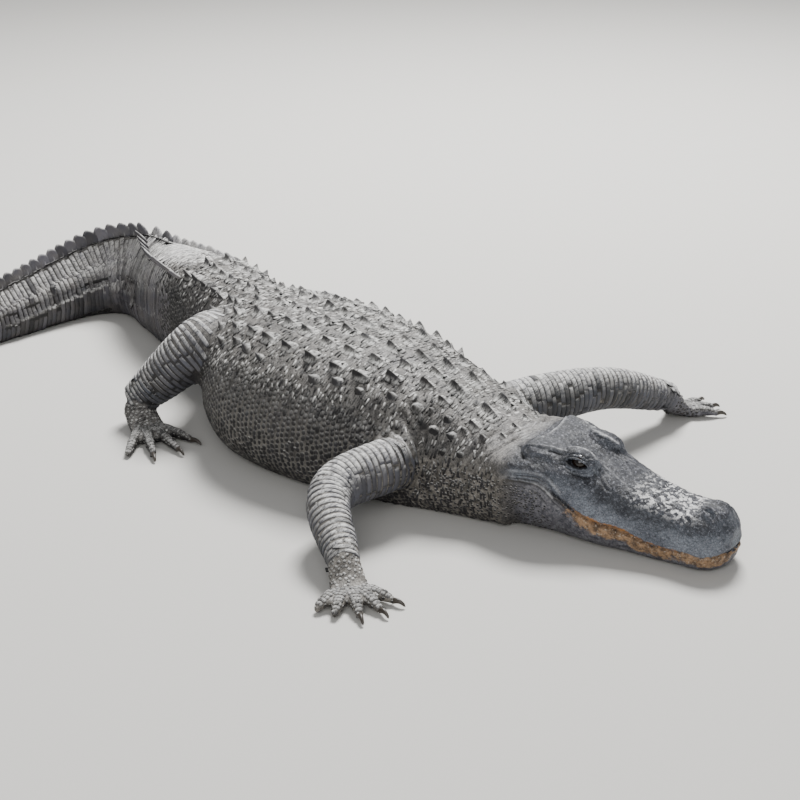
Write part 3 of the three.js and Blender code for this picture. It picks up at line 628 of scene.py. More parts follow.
# Creases of the trunk: a fan over the shoulder, the neck's folds, and slack folds of the flank
BODY_CREASES = [
    (-8, 6, [(612, 140, 181), (604, 160, 148), (597, 168, 122), (602, 168, 90), (604, 166, 50)]),
    (-5, 4.5, [(672, 183, 166), (639, 196, 168), (612, 202, 145), (603, 188, 101), (604, 166, 71)]),
    (-5, 4.5, [(662, 165, 177), (626, 178, 167), (604, 184, 140), (600, 173, 103)]),
    (-5, 4.5, [(660, 144, 203), (632, 150, 179), (606, 166, 150)]),
    (-4, 4, [(610, 105, 211), (607, 129, 190), (600, 148, 163), (598, 160, 132)]),
    (-4, 4, [(653, 122, 219), (636, 135, 200), (615, 142, 181)]),
    (-4, 4, [(586, 112, 196), (584, 136, 170), (584, 152, 140), (588, 158, 104)]),
    (-4, 4, [(560, 110, 184), (560, 132, 160), (566, 146, 130), (572, 150, 98)]),
    (-3.5, 3.6, [(446, 50, 172), (458, 91, 161), (480, 122, 143), (501, 139, 119), (510, 144, 89)]),
    (-3.5, 3.6, [(464, 44, 177), (477, 90, 167), (496, 122, 146), (511, 137, 126), (522, 145, 100)]),
    (-3, 3.6, [(480, 49, 181), (495, 95, 168), (513, 127, 145), (529, 142, 123)]),
    (-3.5, 6, [(877, 148, 271), (878, 163, 255), (876, 179, 241), (878, 202, 217), (870, 222, 180)]),
    (-3, 5, [(785, 111, 267), (786, 139, 254), (789, 163, 238), (800, 186, 219), (806, 208, 180)]),
    (-3.5, 5, [(740, 151, 233), (726, 122, 246), (703, 96, 261), (692, 45, 264)]),
    (-5, 6, [(710, 157, 215), (708, 174, 191), (701, 187, 159), (690, 196, 110)]),
    (-4, 5, [(740, 170, 212), (738, 190, 185), (732, 204, 150), (726, 210, 110)]),
    (-5, 6, [(1057, 155, 259), (1040, 183, 238), (1034, 208, 210), (1040, 222, 170), (1060, 226, 130)]),
    (-4, 5, [(1010, 178, 249), (1004, 203, 227), (1004, 222, 196), (1012, 234, 160)]),
]
# The crease along the tail's side past the bend, over the bulge of its lower muscle
TAIL_CREASE = (-8, 9, [(1840, 84, 106), (1930, 74, 104), (2020, 66, 98), (2120, 59, 88), (2260, 50, 72),
                       (2420, 38, 56)])
TAIL_BULGE = (3, 16, [(1940, 76, 64), (2060, 66, 58), (2200, 56, 50), (2380, 44, 40)])
# Ridges painted pale as a painted highlight
PALE_RIDGES = ("table_rim", "brow_ridge", "corner_roll", "upper_lip_roll")
# Close folds behind the skull table: station and depth
NECK_FOLDS = [(441, 2.4), (448, 2.6), (456, 2.6), (464, 2.6), (473, 2.4), (482, 2.2), (491, 2.0)]


def mouth_line(drop=0.0, last=432):
    """The line between the lips on one side, from the middle of the snout's tip backwards."""
    stations = np.concatenate([[1.5, 4, 8, 14, 22, 32, 44], np.arange(56, last, 10)])
    half = head_half_at(stations) * snout_round(stations)
    line = [(0.5, 0, mouth_at(0) + drop)]
    line += [(s, h, mouth_at(s) + drop) for s, h in zip(stations, half)]
    return line


def neck_fold(station):
    """A fold behind the skull table, on one side, swept forward in the middle like the table's rear edge."""
    knots = [(station - 30 * (1 - (a / 100) ** 2) + 0.1 * a, a, 176 - a * a / 340) for a in range(0, 121, 15)]
    return smooth_line(knots)


def table_edge():
    """The rear edge of the skull table, on one side."""
    return smooth_line([(418 - 24 * (1 - (a / 90) ** 2), a, 184) for a in range(0, 92, 15)])


def stroke(chart, push, depth, width, line):
    """Adds one fold or ridge, on both sides, to how far each point is pushed along its normal."""
    for side in (1, -1):
        flipped = np.array(line, float) * (1, side, 1)
        low, high = flipped.min(axis=0), flipped.max(axis=0)
        near = ((chart > low - 3 * width) & (chart < high + 3 * width)).all(axis=1)
        away = distance_to_line(chart[near], flipped)
        push[near] += depth * np.exp(-(away / width) ** 2)


def crease_share(chart):
    """How deep in a crease of the trunk each point lies, from 0 to 1."""
    deep = np.zeros(len(chart))
    for depth, width, knots in [*BODY_CREASES, TAIL_CREASE]:
        stroke(chart, deep, min(1, -depth / 5), width * 0.8, smooth_line(knots))
    return np.clip(deep, 0, 1)


def eye_distance(chart, side):
    """How far a point is out of the opening between the lids, and its height over its middle."""
    tilt = math.radians(LID_TILT)
    u = EYE[0] - chart[:, 0]
    w = chart[:, 2] - EYE[2] - 1.5
    along = u * math.cos(tilt) - w * math.sin(tilt)
    up = w * math.cos(tilt) + u * math.sin(tilt)
    share = np.clip(1 - (along / EYE_OPENING[0]) ** 2, 0, 1)
    lip = np.where(up > 0, EYE_OPENING[1], EYE_OPENING[2]) * share ** 0.75
    out = np.abs(up) - lip
    beyond = np.abs(along) > EYE_OPENING[0]
    out = np.where(beyond, np.hypot(np.abs(along) - EYE_OPENING[0], up), out)
    facing = (chart[:, 1] * side > 34) & (np.abs(u) < 60) & (np.abs(w) < 40)
    return np.where(facing, out, 99.0), up


def noise(points, size, seed):
    """Soft seeded noise of about the given size, between -1 and 1."""
    rng = np.random.default_rng(seed)
    total = np.zeros(len(points))
    for _ in range(14):
        direction = rng.normal(size=3)
        direction /= np.linalg.norm(direction)
        wave = direction * 2 * math.pi / (size * rng.uniform(0.7, 1.5))
        total += np.sin(points @ wave + rng.uniform(0, 2 * math.pi))
    return total / 4.5


# The skin

# Size of the faces of the merged skin, in metres, and the share of them that is kept under the scales
VOXEL = 0.0062
TRUNK_SHARE = 0.36
SNOUT_LUMP = 7


def select_faces(obj, mask):
    """Selects the faces whose points are all in the mask."""
    make_active(obj)
    mesh = obj.data
    faces = [all(mask[v] for v in polygon.vertices) for polygon in mesh.polygons]
    mesh.vertices.foreach_set("select", np.zeros(len(mesh.vertices), bool))
    mesh.edges.foreach_set("select", np.zeros(len(mesh.edges), bool))
    mesh.polygons.foreach_set("select", faces)
    bpy.ops.object.mode_set(mode="EDIT")
    bpy.ops.mesh.select_mode(type="FACE")
    bpy.ops.object.mode_set(mode="OBJECT")


def subdivide_where(obj, mask):
    """Makes the faces inside the mask finer."""
    select_faces(obj, mask)
    bpy.ops.object.mode_set(mode="EDIT")
    bpy.ops.mesh.subdivide(number_cuts=1, smoothness=0, ngon=False)
    bpy.ops.object.mode_set(mode="OBJECT")


def thin_out(skin):
    """Thins the faces of the trunk, tail and upper limbs, which carry scales, and of the underside."""
    points = points_of(skin)
    chart = spine_chart(points)
    plain = (chart[:, 0] > 520) & (chart[:, 2] > 0)
    for limb in LIMBS.values():
        share = limb_chart(points, limb)[0]
        wrist = limb_point(limb, 1)[0]
        plain &= ~((share > 0.8) & (np.linalg.norm(points - wrist, axis=1) < 260))
    plain &= ~((chart[:, 0] < 730) & (np.abs(chart[:, 1]) > 90) & (chart[:, 2] > 30))
    plain |= chart[:, 2] < 2
    select_faces(skin, plain)
    bpy.ops.object.mode_set(mode="EDIT")
    bpy.ops.mesh.decimate(ratio=TRUNK_SHARE)
    bpy.ops.object.mode_set(mode="OBJECT")


def make_skin():
    """One closed skin: the forms are merged and eased where they meet, then thinned under the scales and made
    finer on the head.
    """
    turn = heading_at(0)
    forms = [trunk_form(), head_form(), table_form(), ellipsoid(place(*NOSE), NOSE_RADII, turn)]
    for side in (1, -1):
        lid = place(LID[0], side * LID[1], LID[2])
        forms.append(ellipsoid(lid, np.array(LID_RADII) - 0.5, turn, LID_TILT))
        ear = place(EAR[0], side * EAR[1], EAR[2])
        forms.append(ellipsoid(ear, EAR_RADII, turn - side * EAR_TOE_OUT))
    for name, limb in LIMBS.items():
        forms.extend(limb_forms(name, limb))
    parts = [make_object(f"form_{i}", *form) for i, form in enumerate(forms)]
    for part in parts:
        face_outward(part)
    make_active(parts[0])
    for part in parts:
        part.select_set(True)
    bpy.ops.object.join()
    skin = parts[0]
    skin.name = "skin"
    skin.data.name = "skin"
    apply_modifier(skin, "REMESH", mode="VOXEL", voxel_size=VOXEL, adaptivity=0)
    # ease the whole skin a little, and more where a limb leaves the trunk and behind the head
    points = points_of(skin)
    chart = spine_chart(points)
    outside = beyond_body(chart)
    joined = np.exp(-((outside - 1) / 0.22) ** 2) * (chart[:, 0] > HEAD_END)
    near_limb = np.zeros(len(points))
    for limb in LIMBS.values():
        share = limb_chart(points, limb)[2]
        near_limb = np.maximum(near_limb, np.exp(-((share - 1.05) / 0.3) ** 2))
    weight = 0.25 + 0.5 * joined * near_limb
    points = relax(points, edges_of(skin), weight * 0.8, 3)
    points = relax(points, edges_of(skin), 0.6 * joined * near_limb, 22)
    collar = np.exp(-((chart[:, 0] - 462) / 26) ** 2) * (np.abs(chart[:, 1]) < 190)
    points = relax(points, edges_of(skin), 0.6 * collar, 30)
    points[:, 2] = np.maximum(points[:, 2], FLOOR_CLEAR)
    move_points(skin, points)
    thin_out(skin)
    # finer faces on the head, then again round the eyes, nostrils and lips
    for rounds in (1, 2):
        chart = spine_chart(points_of(skin))
        s, side, height = chart.T
        fine = (s < 470) & (np.abs(side) < 150) & (height > 14)
        if rounds == 2:
            eye = np.minimum(eye_distance(chart, 1)[0], eye_distance(chart, -1)[0]) < 11
            at_edge = np.abs(side) > head_half_at(s) * snout_round(s) - 14
            lips = (np.abs(height - mouth_at(s)) < 7) & at_edge
            nostril = np.hypot(s - NOSTRIL[0], np.abs(side) - NOSTRIL[1]) < 20
            fine &= eye | (lips & (s < 440)) | (nostril & (height > 90))
        subdivide_where(skin, fine)
        points = points_of(skin)
        chart = spine_chart(points)
        soft = ((chart[:, 0] < 505) & (np.abs(chart[:, 1]) < 165)) * 0.5
        move_points(skin, relax(points, edges_of(skin), soft, 2))
    return skin


def sculpt_head(skin):
    """Lips, ears, the skull table's rim, wrinkles, creases of the body and the snout's pitted top. Gives
    how far each point is painted pale as a painted highlight, and how far it is on the snout's top."""
    points, normals = points_of(skin), normals_of(skin)
    chart = spine_chart(points)
    s, height = chart[:, 0], chart[:, 2]
    push = np.zeros(len(points))
    # a roll over and under the mouth, the mouth line itself, and the folds of head, neck, body and tail
    stroke(chart, push, 1.6, 5, mouth_line(7, 330))
    stroke(chart, push, 2.0, 5, mouth_line(-7, 330))
    stroke(chart, push, -6.5, 2.4, mouth_line())
    for depth, width, knots in HEAD_STROKES.values():
        stroke(chart, push, depth, width, smooth_line(knots))
    for station, depth in NECK_FOLDS:
        stroke(chart, push, -depth, 2.2, neck_fold(station))
    for depth, width, knots in BODY_CREASES:
        stroke(chart, push, 1.5 * depth, 1.2 * width, smooth_line(knots))
    for depth, width, knots in (TAIL_CREASE, TAIL_BULGE):
        stroke(chart, push, depth, width, smooth_line(knots))
    stroke(chart, push, 4.2, 3.2, table_edge())
    stroke(chart, push, -3.5, 3.4, table_edge() + (9, 0, -4))
    # painted highlight: pale skin on the ridges, behind the neck's folds and along the lips of the deeper
    # creases
    frost = np.zeros(len(points))
    for line in [table_edge(), *(smooth_line(HEAD_STROKES[name][2]) for name in PALE_RIDGES)]:
        stroke(chart, frost, 1.0, 2.6, line)
    for station, _ in NECK_FOLDS:
        stroke(chart, frost, 0.5, 1.8, neck_fold(station + 4))
    for depth, width, knots in HEAD_STROKES.values():
        if depth < -2.5:
            for lift in (4.2, -4.2):
                stroke(chart, frost, 0.3, 1.8, smooth_line(np.array(knots) + (0, 0, lift)))
    # the top of the snout is lumpy and pitted, and finer lumps run over the whole head
    top = fade(height, head_top_at(s) - 22, head_top_at(s) - 8) * fade(s, 58, 82) * fade(s, 215, 175)
    push += top * (1.1 * noise(points, SNOUT_LUMP * 2, 1) + 0.9 * noise(points, SNOUT_LUMP, 2))
    push += (0.5 * noise(points, 16, 3) + 0.35 * noise(points, 8, 4)) * (s < 430)
    move_points(skin, points + normals * push[:, None])
    return np.clip(frost * (0.75 + 0.4 * noise(points, 12, 5)), 0, 1), top


def sculpt_eyes_and_nose(skin):
    """Opens the lids, with rims and fine folds round them, and the two bowed nostrils."""
    points = points_of(skin)
    chart = spine_chart(points)
    heading = math.radians(heading_at(0))
    left = np.array([-math.sin(heading), math.cos(heading), 0])
    push = np.zeros(len(points))
    inward = np.zeros(len(points))
    for side in (1, -1):
        out, up = eye_distance(chart, side)
        inside = np.clip(-(out - 0.3) / 1.6, 0, 1)
        inward += side * -17 * inside * (3 - 2 * inside) * inside
        rim = 2.6 * np.exp(-((out - 2.2) / 1.9) ** 2)
        folds = 0.9 * np.cos((out - 2.2) / 4.4 * 2 * math.pi) * np.exp(-((out - 8) / 6) ** 2)
        folds *= np.where(up > -2, 1, 0.5)
        push += rim * (out < 40) + folds * ((out > 3.5) & (out < 22))
    turn = math.radians(NOSTRIL_TURN)
    for side in (1, -1):
        u = NOSTRIL[0] - chart[:, 0]
        v = chart[:, 1] * side - NOSTRIL[1]
        a = (u * math.cos(turn) + v * math.sin(turn)) / NOSTRIL_RADII[0]
        b = (-u * math.sin(turn) + v * math.cos(turn)) / NOSTRIL_RADII[1]
        bow = np.hypot(np.maximum(np.abs(a) - 0.8, 0), (b - 0.9 * a * a + 0.4) * 0.8)
        above = chart[:, 2] > 90
        push -= 5.5 * np.exp(-(bow / 0.42) ** 2) * above
        push += 2.2 * np.exp(-((np.hypot(a, b) - 1.9) / 0.7) ** 2) * above
    normals = normals_of(skin)
    move_points(skin, points + normals * push[:, None] + left * inward[:, None])


def paint(obj, name, values):
    """Keeps a value for each point, which the materials read by its name."""
    attribute = obj.data.attributes.new(name, "FLOAT", "POINT")
    attribute.data.foreach_set("value", np.asarray(values, float))


skin = make_skin()
pale_ridges, snout_top = sculpt_head(skin)
sculpt_eyes_and_nose(skin)
skin.data.shade_smooth()
BODY_NODES = [name for name in frame["nodes"] if not name.startswith(("eye", "claw"))]
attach(skin, "root")
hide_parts(*BODY_NODES)


# Scales and plates, each a closed piece rooted in the skin

skin_tree = BVHTree.FromObject(skin, bpy.context.evaluated_depsgraph_get())
skin_faces = [tuple(polygon.vertices) for polygon in skin.data.polygons]
skin_normals = normals_of(skin)
# How deep scales stand in the skin, and the height under which the belly is left bare
ROOT_DEPTH = 2.6
FLOOR_SKIP = 5
# The most triangles that one joined piece holds
PIECE_LIMIT = 190000
# How far out the skin is looked for from a seat and across a wide plate, and how far a seat may move to it
SEAT_REACH = 26
DRAPE_REACH = 16
STRAY_BODY = 14
STRAY_LIMB = 16
# The shares of its width at which a wide plate follows the skin
DRAPE_SHARES = (-0.5, -0.25, 0, 0.25, 0.5)
# Scales in creases are lower and painted darker as shade, and only plates wider than this lie over the deep
# ones
CREASE_BARE = 0.5
WIDE_PLATE = 24
CREASE_LOWER = 0.6
CREASE_PAINTED_SHADE = 2.4
# Where limb rows begin and body rows end, as shares of the trunk's section
LIMB_FROM = 1.03
BODY_TO = 1.07
# Size of a scale's patch in the uv map that each piece carries. The body's patches lie by station and
# angle in the map's lower half, the limbs' in four columns in its upper half
PATCH = 0.003


def meet_skin(points, outs, reach, plates=None):
    """Where a line through each point along its out direction meets the skin, and the skin's normal there.
    Given a tree of plates, a plate that covers the skin is met instead."""
    hits, normals, found = np.array(points), np.array(outs), np.zeros(len(points), bool)
    for i, (point, out) in enumerate(zip(points, outs)):
        start = Vector((point + out * reach) * MM)
        spot, _, face, _ = skin_tree.ray_cast(start, Vector(-out), 2 * reach * MM)
        if spot is None:
            continue
        found[i] = True
        hits[i] = np.array(spot) / MM
        normals[i] = skin_normals[list(skin_faces[face])].mean(axis=0)
        if plates:
            spot, facing, _, _ = plates.ray_cast(start, Vector(-out), 2 * reach * MM)
            if spot is not None and np.array(spot) / MM @ out > hits[i] @ out:
                hits[i], normals[i] = np.array(spot) / MM, np.array(facing)
    return hits, unit(normals), found


def modelled(obj):
    """The points and triangles of a modelled template, which is then removed."""
    apply_modifier(obj, "TRIANGULATE")
    points = points_of(obj) * MM
    faces = np.array([tuple(polygon.vertices) for polygon in obj.data.polygons])
    bpy.data.objects.remove(obj)
    return points, faces


def add_block(sides, turn=0.0):
    """An upright prism one unit wide, standing on height -1 with its top at 0, in edit mode."""
    deselect()
    bpy.ops.mesh.primitive_cylinder_add(
        vertices=sides, radius=0.5, depth=1, location=(0, 0, -0.5), rotation=(0, 0, turn)
    )
    bpy.ops.object.transform_apply(location=True, rotation=True, scale=True)
    block = bpy.context.object
    bpy.ops.object.mode_set(mode="EDIT")
    bpy.ops.mesh.select_mode(type="FACE")
    bpy.ops.mesh.select_all(action="DESELECT")
    bpy.ops.object.mode_set(mode="OBJECT")
    for face in block.data.polygons:
        face.select = face.normal.z > 0.9
    bpy.ops.object.mode_set(mode="EDIT")
    return block


def scale_template(sides, shoulder, crown, squareness=2.0):
    """A low scale: upright edges, a shoulder drawn in from them, and a crown at height 1."""
    block = add_block(sides, math.pi / sides)
    bpy.ops.mesh.inset(thickness=shoulder, depth=0)
    bpy.ops.transform.translate(value=(0, 0, crown))
    bpy.ops.mesh.poke(offset=1 - crown)
    bpy.ops.object.mode_set(mode="OBJECT")
    points, faces = modelled(block)
    turn = np.arctan2(points[:, 1], points[:, 0])
    fuller = (np.abs(np.cos(turn)) ** squareness + np.abs(np.sin(turn)) ** squareness) ** (-1 / squareness)
    points[:, :2] *= fuller[:, None]
    return points, faces


def tile_block(columns, rows):
    """A square tile one unit wide and thick, with its top cut into columns and rows."""
    deselect()
    bpy.ops.mesh.primitive_grid_add(x_subdivisions=columns, y_subdivisions=rows, size=1)
    tile = bpy.context.object
    bpy.ops.object.mode_set(mode="EDIT")
    bpy.ops.mesh.select_all(action="SELECT")
    bpy.ops.mesh.extrude_region_move(TRANSFORM_OT_translate={"value": (0, 0, -1)})
    bpy.ops.object.mode_set(mode="OBJECT")
    face_outward(tile)
    return modelled(tile)


def curved_template():
    """A wide, nearly flat plate of the limbs and tail, with columns across that let it bend."""
    points, faces = tile_block(4, 6)
    u, v, w = points.T
    u, v = 0.5 * power(2 * u, 0.45), 0.5 * power(2 * v, 0.7)
    edge = (np.abs(u) > 0.49) | (np.abs(v) > 0.49)
    points[:, 2] = np.where(w > -0.5, np.where(edge, 0.1, 1 - 0.5 * v * v), -1)
    points[:, 0], points[:, 1] = u, v
    return points, faces


def keeled_template():
    """A back plate: a low tile whose rim sinks into the skin, with a narrow keel hooked to the rear."""
    points, faces = tile_block(13, 12)
    u, v, w = points.T
    v = 0.5 * power(2 * v, 1.5)
    corner = 1 - 0.13 * (np.abs(2 * u) ** 4 * np.abs(2 * v) ** 2 + np.abs(2 * v) ** 4 * np.abs(2 * u) ** 2)
    top = w > -0.5
    ramp = np.interp(-u, (-0.5, -0.38, -0.14, 0.12, 0.3, 0.42, 0.5), (0, 0.14, 0.52, 0.88, 1, 0.4, 0))
    keel = ramp * np.exp(-(np.abs(v) / (0.1 + 0.05 * np.clip(0.4 - u, 0, 1))) ** 1.4)
    pillow = 0.13 * (1 - np.abs(2 * v) ** 3) * (1 - np.abs(2 * u) ** 4)
    rim = np.maximum(np.abs(u), np.abs(v)) > 0.46
    points[:, 2] = np.where(top, np.where(rim, -0.4, keel * 0.87 + pillow), -1)
    points[:, 0] = u * corner - np.where(top, 0.1 * keel, 0)
    points[:, 1] = v * corner
    return points, faces


def spur_template():
    """A lone keel of the flank: a short blunt spur that leans to the rear, on a round foot."""
    deselect()
    bpy.ops.mesh.primitive_uv_sphere_add(segments=14, ring_count=12, radius=0.5)
    points, faces = modelled(bpy.context.object)
    u, v, w = points.T
    reach = np.hypot(u, v) * 2
    tall = np.clip(1 - reach, 0, 1) ** 1.2 * (1 + 0.25 * reach)
    points[:, 2] = np.where(w > -0.01, tall, -1 + np.clip(reach, 0, 1))
    points[:, 0] = u - np.where(w > 0, 0.34 * tall ** 1.3, 0)
    points[:, 1] = v * (1 - 0.35 * np.where(w > 0, tall, 0))
    return points, faces


def fin_template():
    """A crest plate: a leaning lobe, thick at its root and thin at its edge, its height along +z."""
    deselect()
    bpy.ops.mesh.primitive_cylinder_add(vertices=16, radius=0.5, depth=0.5, rotation=(math.pi / 2, 0, 0))
    bpy.ops.object.transform_apply(location=True, rotation=True, scale=True)
    fin = bpy.context.object
    for face in fin.data.polygons:
        face.select = abs(face.normal.y) > 0.9
    bpy.ops.object.mode_set(mode="EDIT")
    bpy.ops.mesh.select_mode(type="FACE")
    bpy.ops.mesh.inset(thickness=0.16, depth=0, use_individual=True)
    bpy.ops.transform.resize(value=(1, 1.9, 1))
    bpy.ops.mesh.inset(thickness=0.12, depth=0, use_individual=True)
    bpy.ops.mesh.poke(offset=0.02)
    bpy.ops.object.mode_set(mode="OBJECT")
    points, faces = modelled(fin)
    u, v, w = points.T
    # the lobe: upright and full in front, its tip drawn out to the rear
    up = np.clip(w + 0.5, 0, 1)
    lean = 0.4 * up ** 1.5
    narrow = 1 - 0.5 * up ** 2.1
    points[:, 0] = u * narrow * 1.05 - lean
    points[:, 2] = np.where(w < -0.2, -1 + (w + 0.5) / 0.3, up * 1.03 - 0.03)
    points[:, 1] = v * (1 - 0.72 * up)
    return points, faces


def body_seats(rows, tall, twist=0.0, plates=None):
    """Seats over the body from rows of (station, arc, length, width): arc is out from the back's midline."""
    rows = np.array(rows, float)
    s, arc = rows[:, 0], rows[:, 1]
    sweep = np.radians(np.arange(90, -84, -1.5))
    angle = np.empty(len(s))
    girth = np.empty(len(s))
    for station in np.unique(s):
        ring = body_point(station, sweep)
        arcs = np.concatenate([[0], np.cumsum(np.linalg.norm(np.diff(ring, axis=0), axis=1))])
        mine = s == station
        angle[mine] = np.interp(np.abs(arc[mine]), arcs, sweep)
        girth[mine] = arcs[-1]
    angle = np.where(arc < 0, math.pi - angle, angle)
    keep = np.abs(arc) < girth
    rows, s, angle = rows[keep], s[keep], angle[keep]
    point = body_point(s, angle)
    along = unit(body_point(s - 4, angle) - body_point(s + 4, angle))
    across = unit(body_point(s, angle + 0.02) - body_point(s, angle - 0.02))
    out = unit(np.cross(across, along))
    out *= np.sign((out * (point - place(s, 0, widest_at(s)))).sum(axis=1))[:, None]
    chart = np.stack([0.01 + 0.97 * s / TOTAL_LENGTH, 0.01 + 0.46 * (angle / (2 * math.pi) + 0.25)], axis=-1)
    sizes = rows[:, 2], rows[:, 3], tall
    return settle(point, along, out, *sizes, chart, on_body=True, twist=twist, plates=plates)


def settle(point, along, out, length, width, tall, chart, on_body, twist=0.0, plates=None):
    """Moves seats onto the skin, turns them to it, and drops those that miss it or lie on the floor."""
    hit, normal, found = meet_skin(point, out, SEAT_REACH, plates)
    where = spine_chart(hit)
    share = beyond_body(where)
    if plates:
        share = np.minimum(share, 1.05)
        found &= (normal * out).sum(axis=1) > 0.82
    found &= (hit[:, 2] > FLOOR_SKIP)
    found &= np.linalg.norm(hit - point, axis=1) < (STRAY_BODY if on_body else STRAY_LIMB)
    found &= (share < BODY_TO) if on_body else (share > LIMB_FROM)
    normal = unit(normal + twist * 0.3 * random.normal(0, 1, normal.shape))
    along = unit(along - normal * (along * normal).sum(axis=1)[:, None])
    across = np.cross(normal, along)
    turn = random.normal(0, 1, len(hit))[:, None] * twist
    turned = along * np.cos(turn) + across * np.sin(turn), across * np.cos(turn) - along * np.sin(turn)
    along, across = turned
    creased = crease_share(where)
    found &= (creased < CREASE_BARE) | (width > WIDE_PLATE)
    tall = np.broadcast_to(tall, len(hit)) * (1 - CREASE_LOWER * creased)
    if not on_body:
        tall = tall * np.interp(share, (LIMB_FROM, 1.35), (0.3, 1))
    # painted shade: scales in creases get a darker tone
    tone = random.normal(0, 1, len(hit)) - CREASE_PAINTED_SHADE * creased
    return {
        "at": hit[found], "along": along[found], "across": across[found], "out": normal[found],
        "length": length[found], "width": width[found], "tall": tall[found], "tone": tone[found],
        "chart": chart[found],
    }


def merged(groups):
    """Several sets of seats as one."""
    return {key: np.concatenate([group[key] for group in groups]) for key in groups[0]}


def skin_under(seat):
    """How far out the skin lies from each seat's flat, at a few shares of its width."""
    out = np.full((len(seat["at"]), len(DRAPE_SHARES)), -6.0)
    for i, (at, across, up, width) in enumerate(zip(seat["at"], seat["across"], seat["out"], seat["width"])):
        for k, share in enumerate(DRAPE_SHARES):
            start = at + across * share * width + up * DRAPE_REACH
            spot = skin_tree.ray_cast(Vector(start * MM), Vector(-up), 2 * DRAPE_REACH * MM)[0]
            if spot is not None:
                out[i, k] = (np.array(spot) / MM - start) @ up + DRAPE_REACH
    return out


def lay_scales(name, template, seats, root=ROOT_DEPTH, draped=False):
    """Sets a copy of the template on each seat, in joined pieces that stay under the limit.
    Draped plates follow the skin across their width."""
    shape, faces = template
    order = np.argsort(seats["chart"][:, 0], kind="stable")
    pieces = max(1, math.ceil(len(order) * len(faces) / PIECE_LIMIT))
    made = []
    for number, part in enumerate(np.array_split(order, pieces)):
        seat = {key: values[part] for key, values in seats.items()}
        count = len(part)
        u = shape[:, 0][None, :] * seat["length"][:, None]
        v = shape[:, 1][None, :] * seat["width"][:, None]
        w = shape[:, 2][None, :] * np.where(shape[:, 2] > 0, seat["tall"][:, None], root)
        if draped:
            under = skin_under(seat)
            step = np.interp(shape[:, 1], DRAPE_SHARES, range(len(DRAPE_SHARES)))
            first = np.minimum(step.astype(int), len(DRAPE_SHARES) - 2)
            w = w + under[:, first] * (1 - step + first) + under[:, first + 1] * (step - first)
        points = seat["at"][:, None] + u[..., None] * seat["along"][:, None]
        points = points + v[..., None] * seat["across"][:, None] + w[..., None] * seat["out"][:, None]
        points[..., 2] = np.maximum(points[..., 2], 0.3)
        corners = (faces[None] + len(shape) * np.arange(count)[:, None, None]).reshape(-1, 3)
        mesh = bpy.data.meshes.new(f"{name}_{number + 1}")
        mesh.vertices.add(count * len(shape))
        mesh.vertices.foreach_set("co", (points * MM).ravel())
        mesh.loops.add(len(corners) * 3)
        mesh.loops.foreach_set("vertex_index", corners.ravel())
        mesh.polygons.add(len(corners))
        mesh.polygons.foreach_set("loop_start", np.arange(0, len(corners) * 3, 3))
        mesh.polygons.foreach_set("loop_total", np.full(len(corners), 3))
        mesh.update(calc_edges=True)
        patch = seat["chart"][:, None] + PATCH / 2 * np.clip(2 * shape[:, :2], -1, 1)[None]
        layer = mesh.uv_layers.new(name="OFBake")
        layer.data.foreach_set("uv", patch.reshape(-1, 2)[corners.ravel()].ravel())
        piece = bpy.data.objects.new(f"{name}_{number + 1}", mesh)
        bpy.context.scene.collection.objects.link(piece)
        paint(piece, "tone", np.repeat(seat["tone"], len(shape)))
        paint(piece, "rise", np.tile(np.clip(shape[:, 2], -0.3, 1), count))
        mesh.shade_smooth()
        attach(piece, "root")
        made.append(piece)
    return made


def joined_mesh(pieces):
    """The points, in metres, and the faces of some pieces as one list each."""
    points, faces = [], []
    for piece in pieces:
        faces += [tuple(len(points) + v for v in polygon.vertices) for polygon in piece.data.polygons]
        points += [vertex.co.copy() for vertex in piece.data.vertices]
    return points, faces


# Rows of keeled back plates: stations, plates in a row and the space between them
ROW_FIRST = 650
ROW_LAST = 1580
ROW_PITCH = 56
row_count = smooth_table([(650, 4), (710, 5), (820, 6), (1090, 6), (1150, 5), (1220, 4), (1500, 4)])
row_spacing = smooth_table([(650, 46), (850, 58), (1100, 58), (1220, 54), (1546, 52)])
# Station, arc out from the midline, length, width and keel, on both sides; spurs without the keel
NAPE_PLATES = [(468, 24, 24, 24, 8), (472, 66, 20, 20, 7), (522, 30, 54, 52, 18), (528, 84, 32, 30, 12),
               (598, 29, 52, 48, 17), (600, 80, 34, 32, 12)]
NECK_SPURS = [(556, 128, 24, 20), (590, 142, 24, 20), (618, 166, 26, 22), (636, 128, 28, 24),
              (560, 168, 20, 18), (500, 96, 18, 16), (540, 104, 18, 16), (575, 108, 20, 18),
              (610, 112, 22, 20), (530, 150, 18, 16)]


def vary(spread):
    """A small random change, either way."""
    return random.uniform(-spread, spread)


def back_rows():
    """The keeled plates of the back and nape, as (station, arc, length, width, keel)."""
    rows = []
    for s in np.arange(ROW_FIRST, ROW_LAST, ROW_PITCH):
        across = int(round(float(row_count(s))))
        spacing = float(row_spacing(s))
        for k in range(across):
            outer = k in (0, across - 1)
            row = s + vary(3), (k - (across - 1) / 2) * spacing + vary(3), ROW_PITCH - 9 + vary(3) - 6 * outer
            keel = max(0, (s - 1440) / 18)
            rows.append((*row, spacing - 13 + vary(3) - 5 * outer, 14 + vary(3) + 2 * outer + keel))
    for s, arc, length, width, keel in NAPE_PLATES:
        for side in (1, -1):
            rows.append((s + vary(3), side * arc + vary(2), length, width, keel))
    return rows


def spur_rows():
    """Lone spurs beside the rows and on the neck, in the same order of values."""
    rows = []
    for s in np.arange(700, 1300, 46):
        reach = float((row_count(s) - 1) / 2 * row_spacing(s))
        for side in (1, -1):
            size = 27 + vary(5)
            if random.random() < 0.8:
                rows.append((s + vary(12), side * (reach + 42 + vary(9)), size, size * 0.8, 14 + vary(3)))
    for s, arc, length, width in NECK_SPURS:
        for side in (1, -1):
            rows.append((s + vary(3), side * arc + vary(4), length, width, 9 + vary(3)))
    return rows


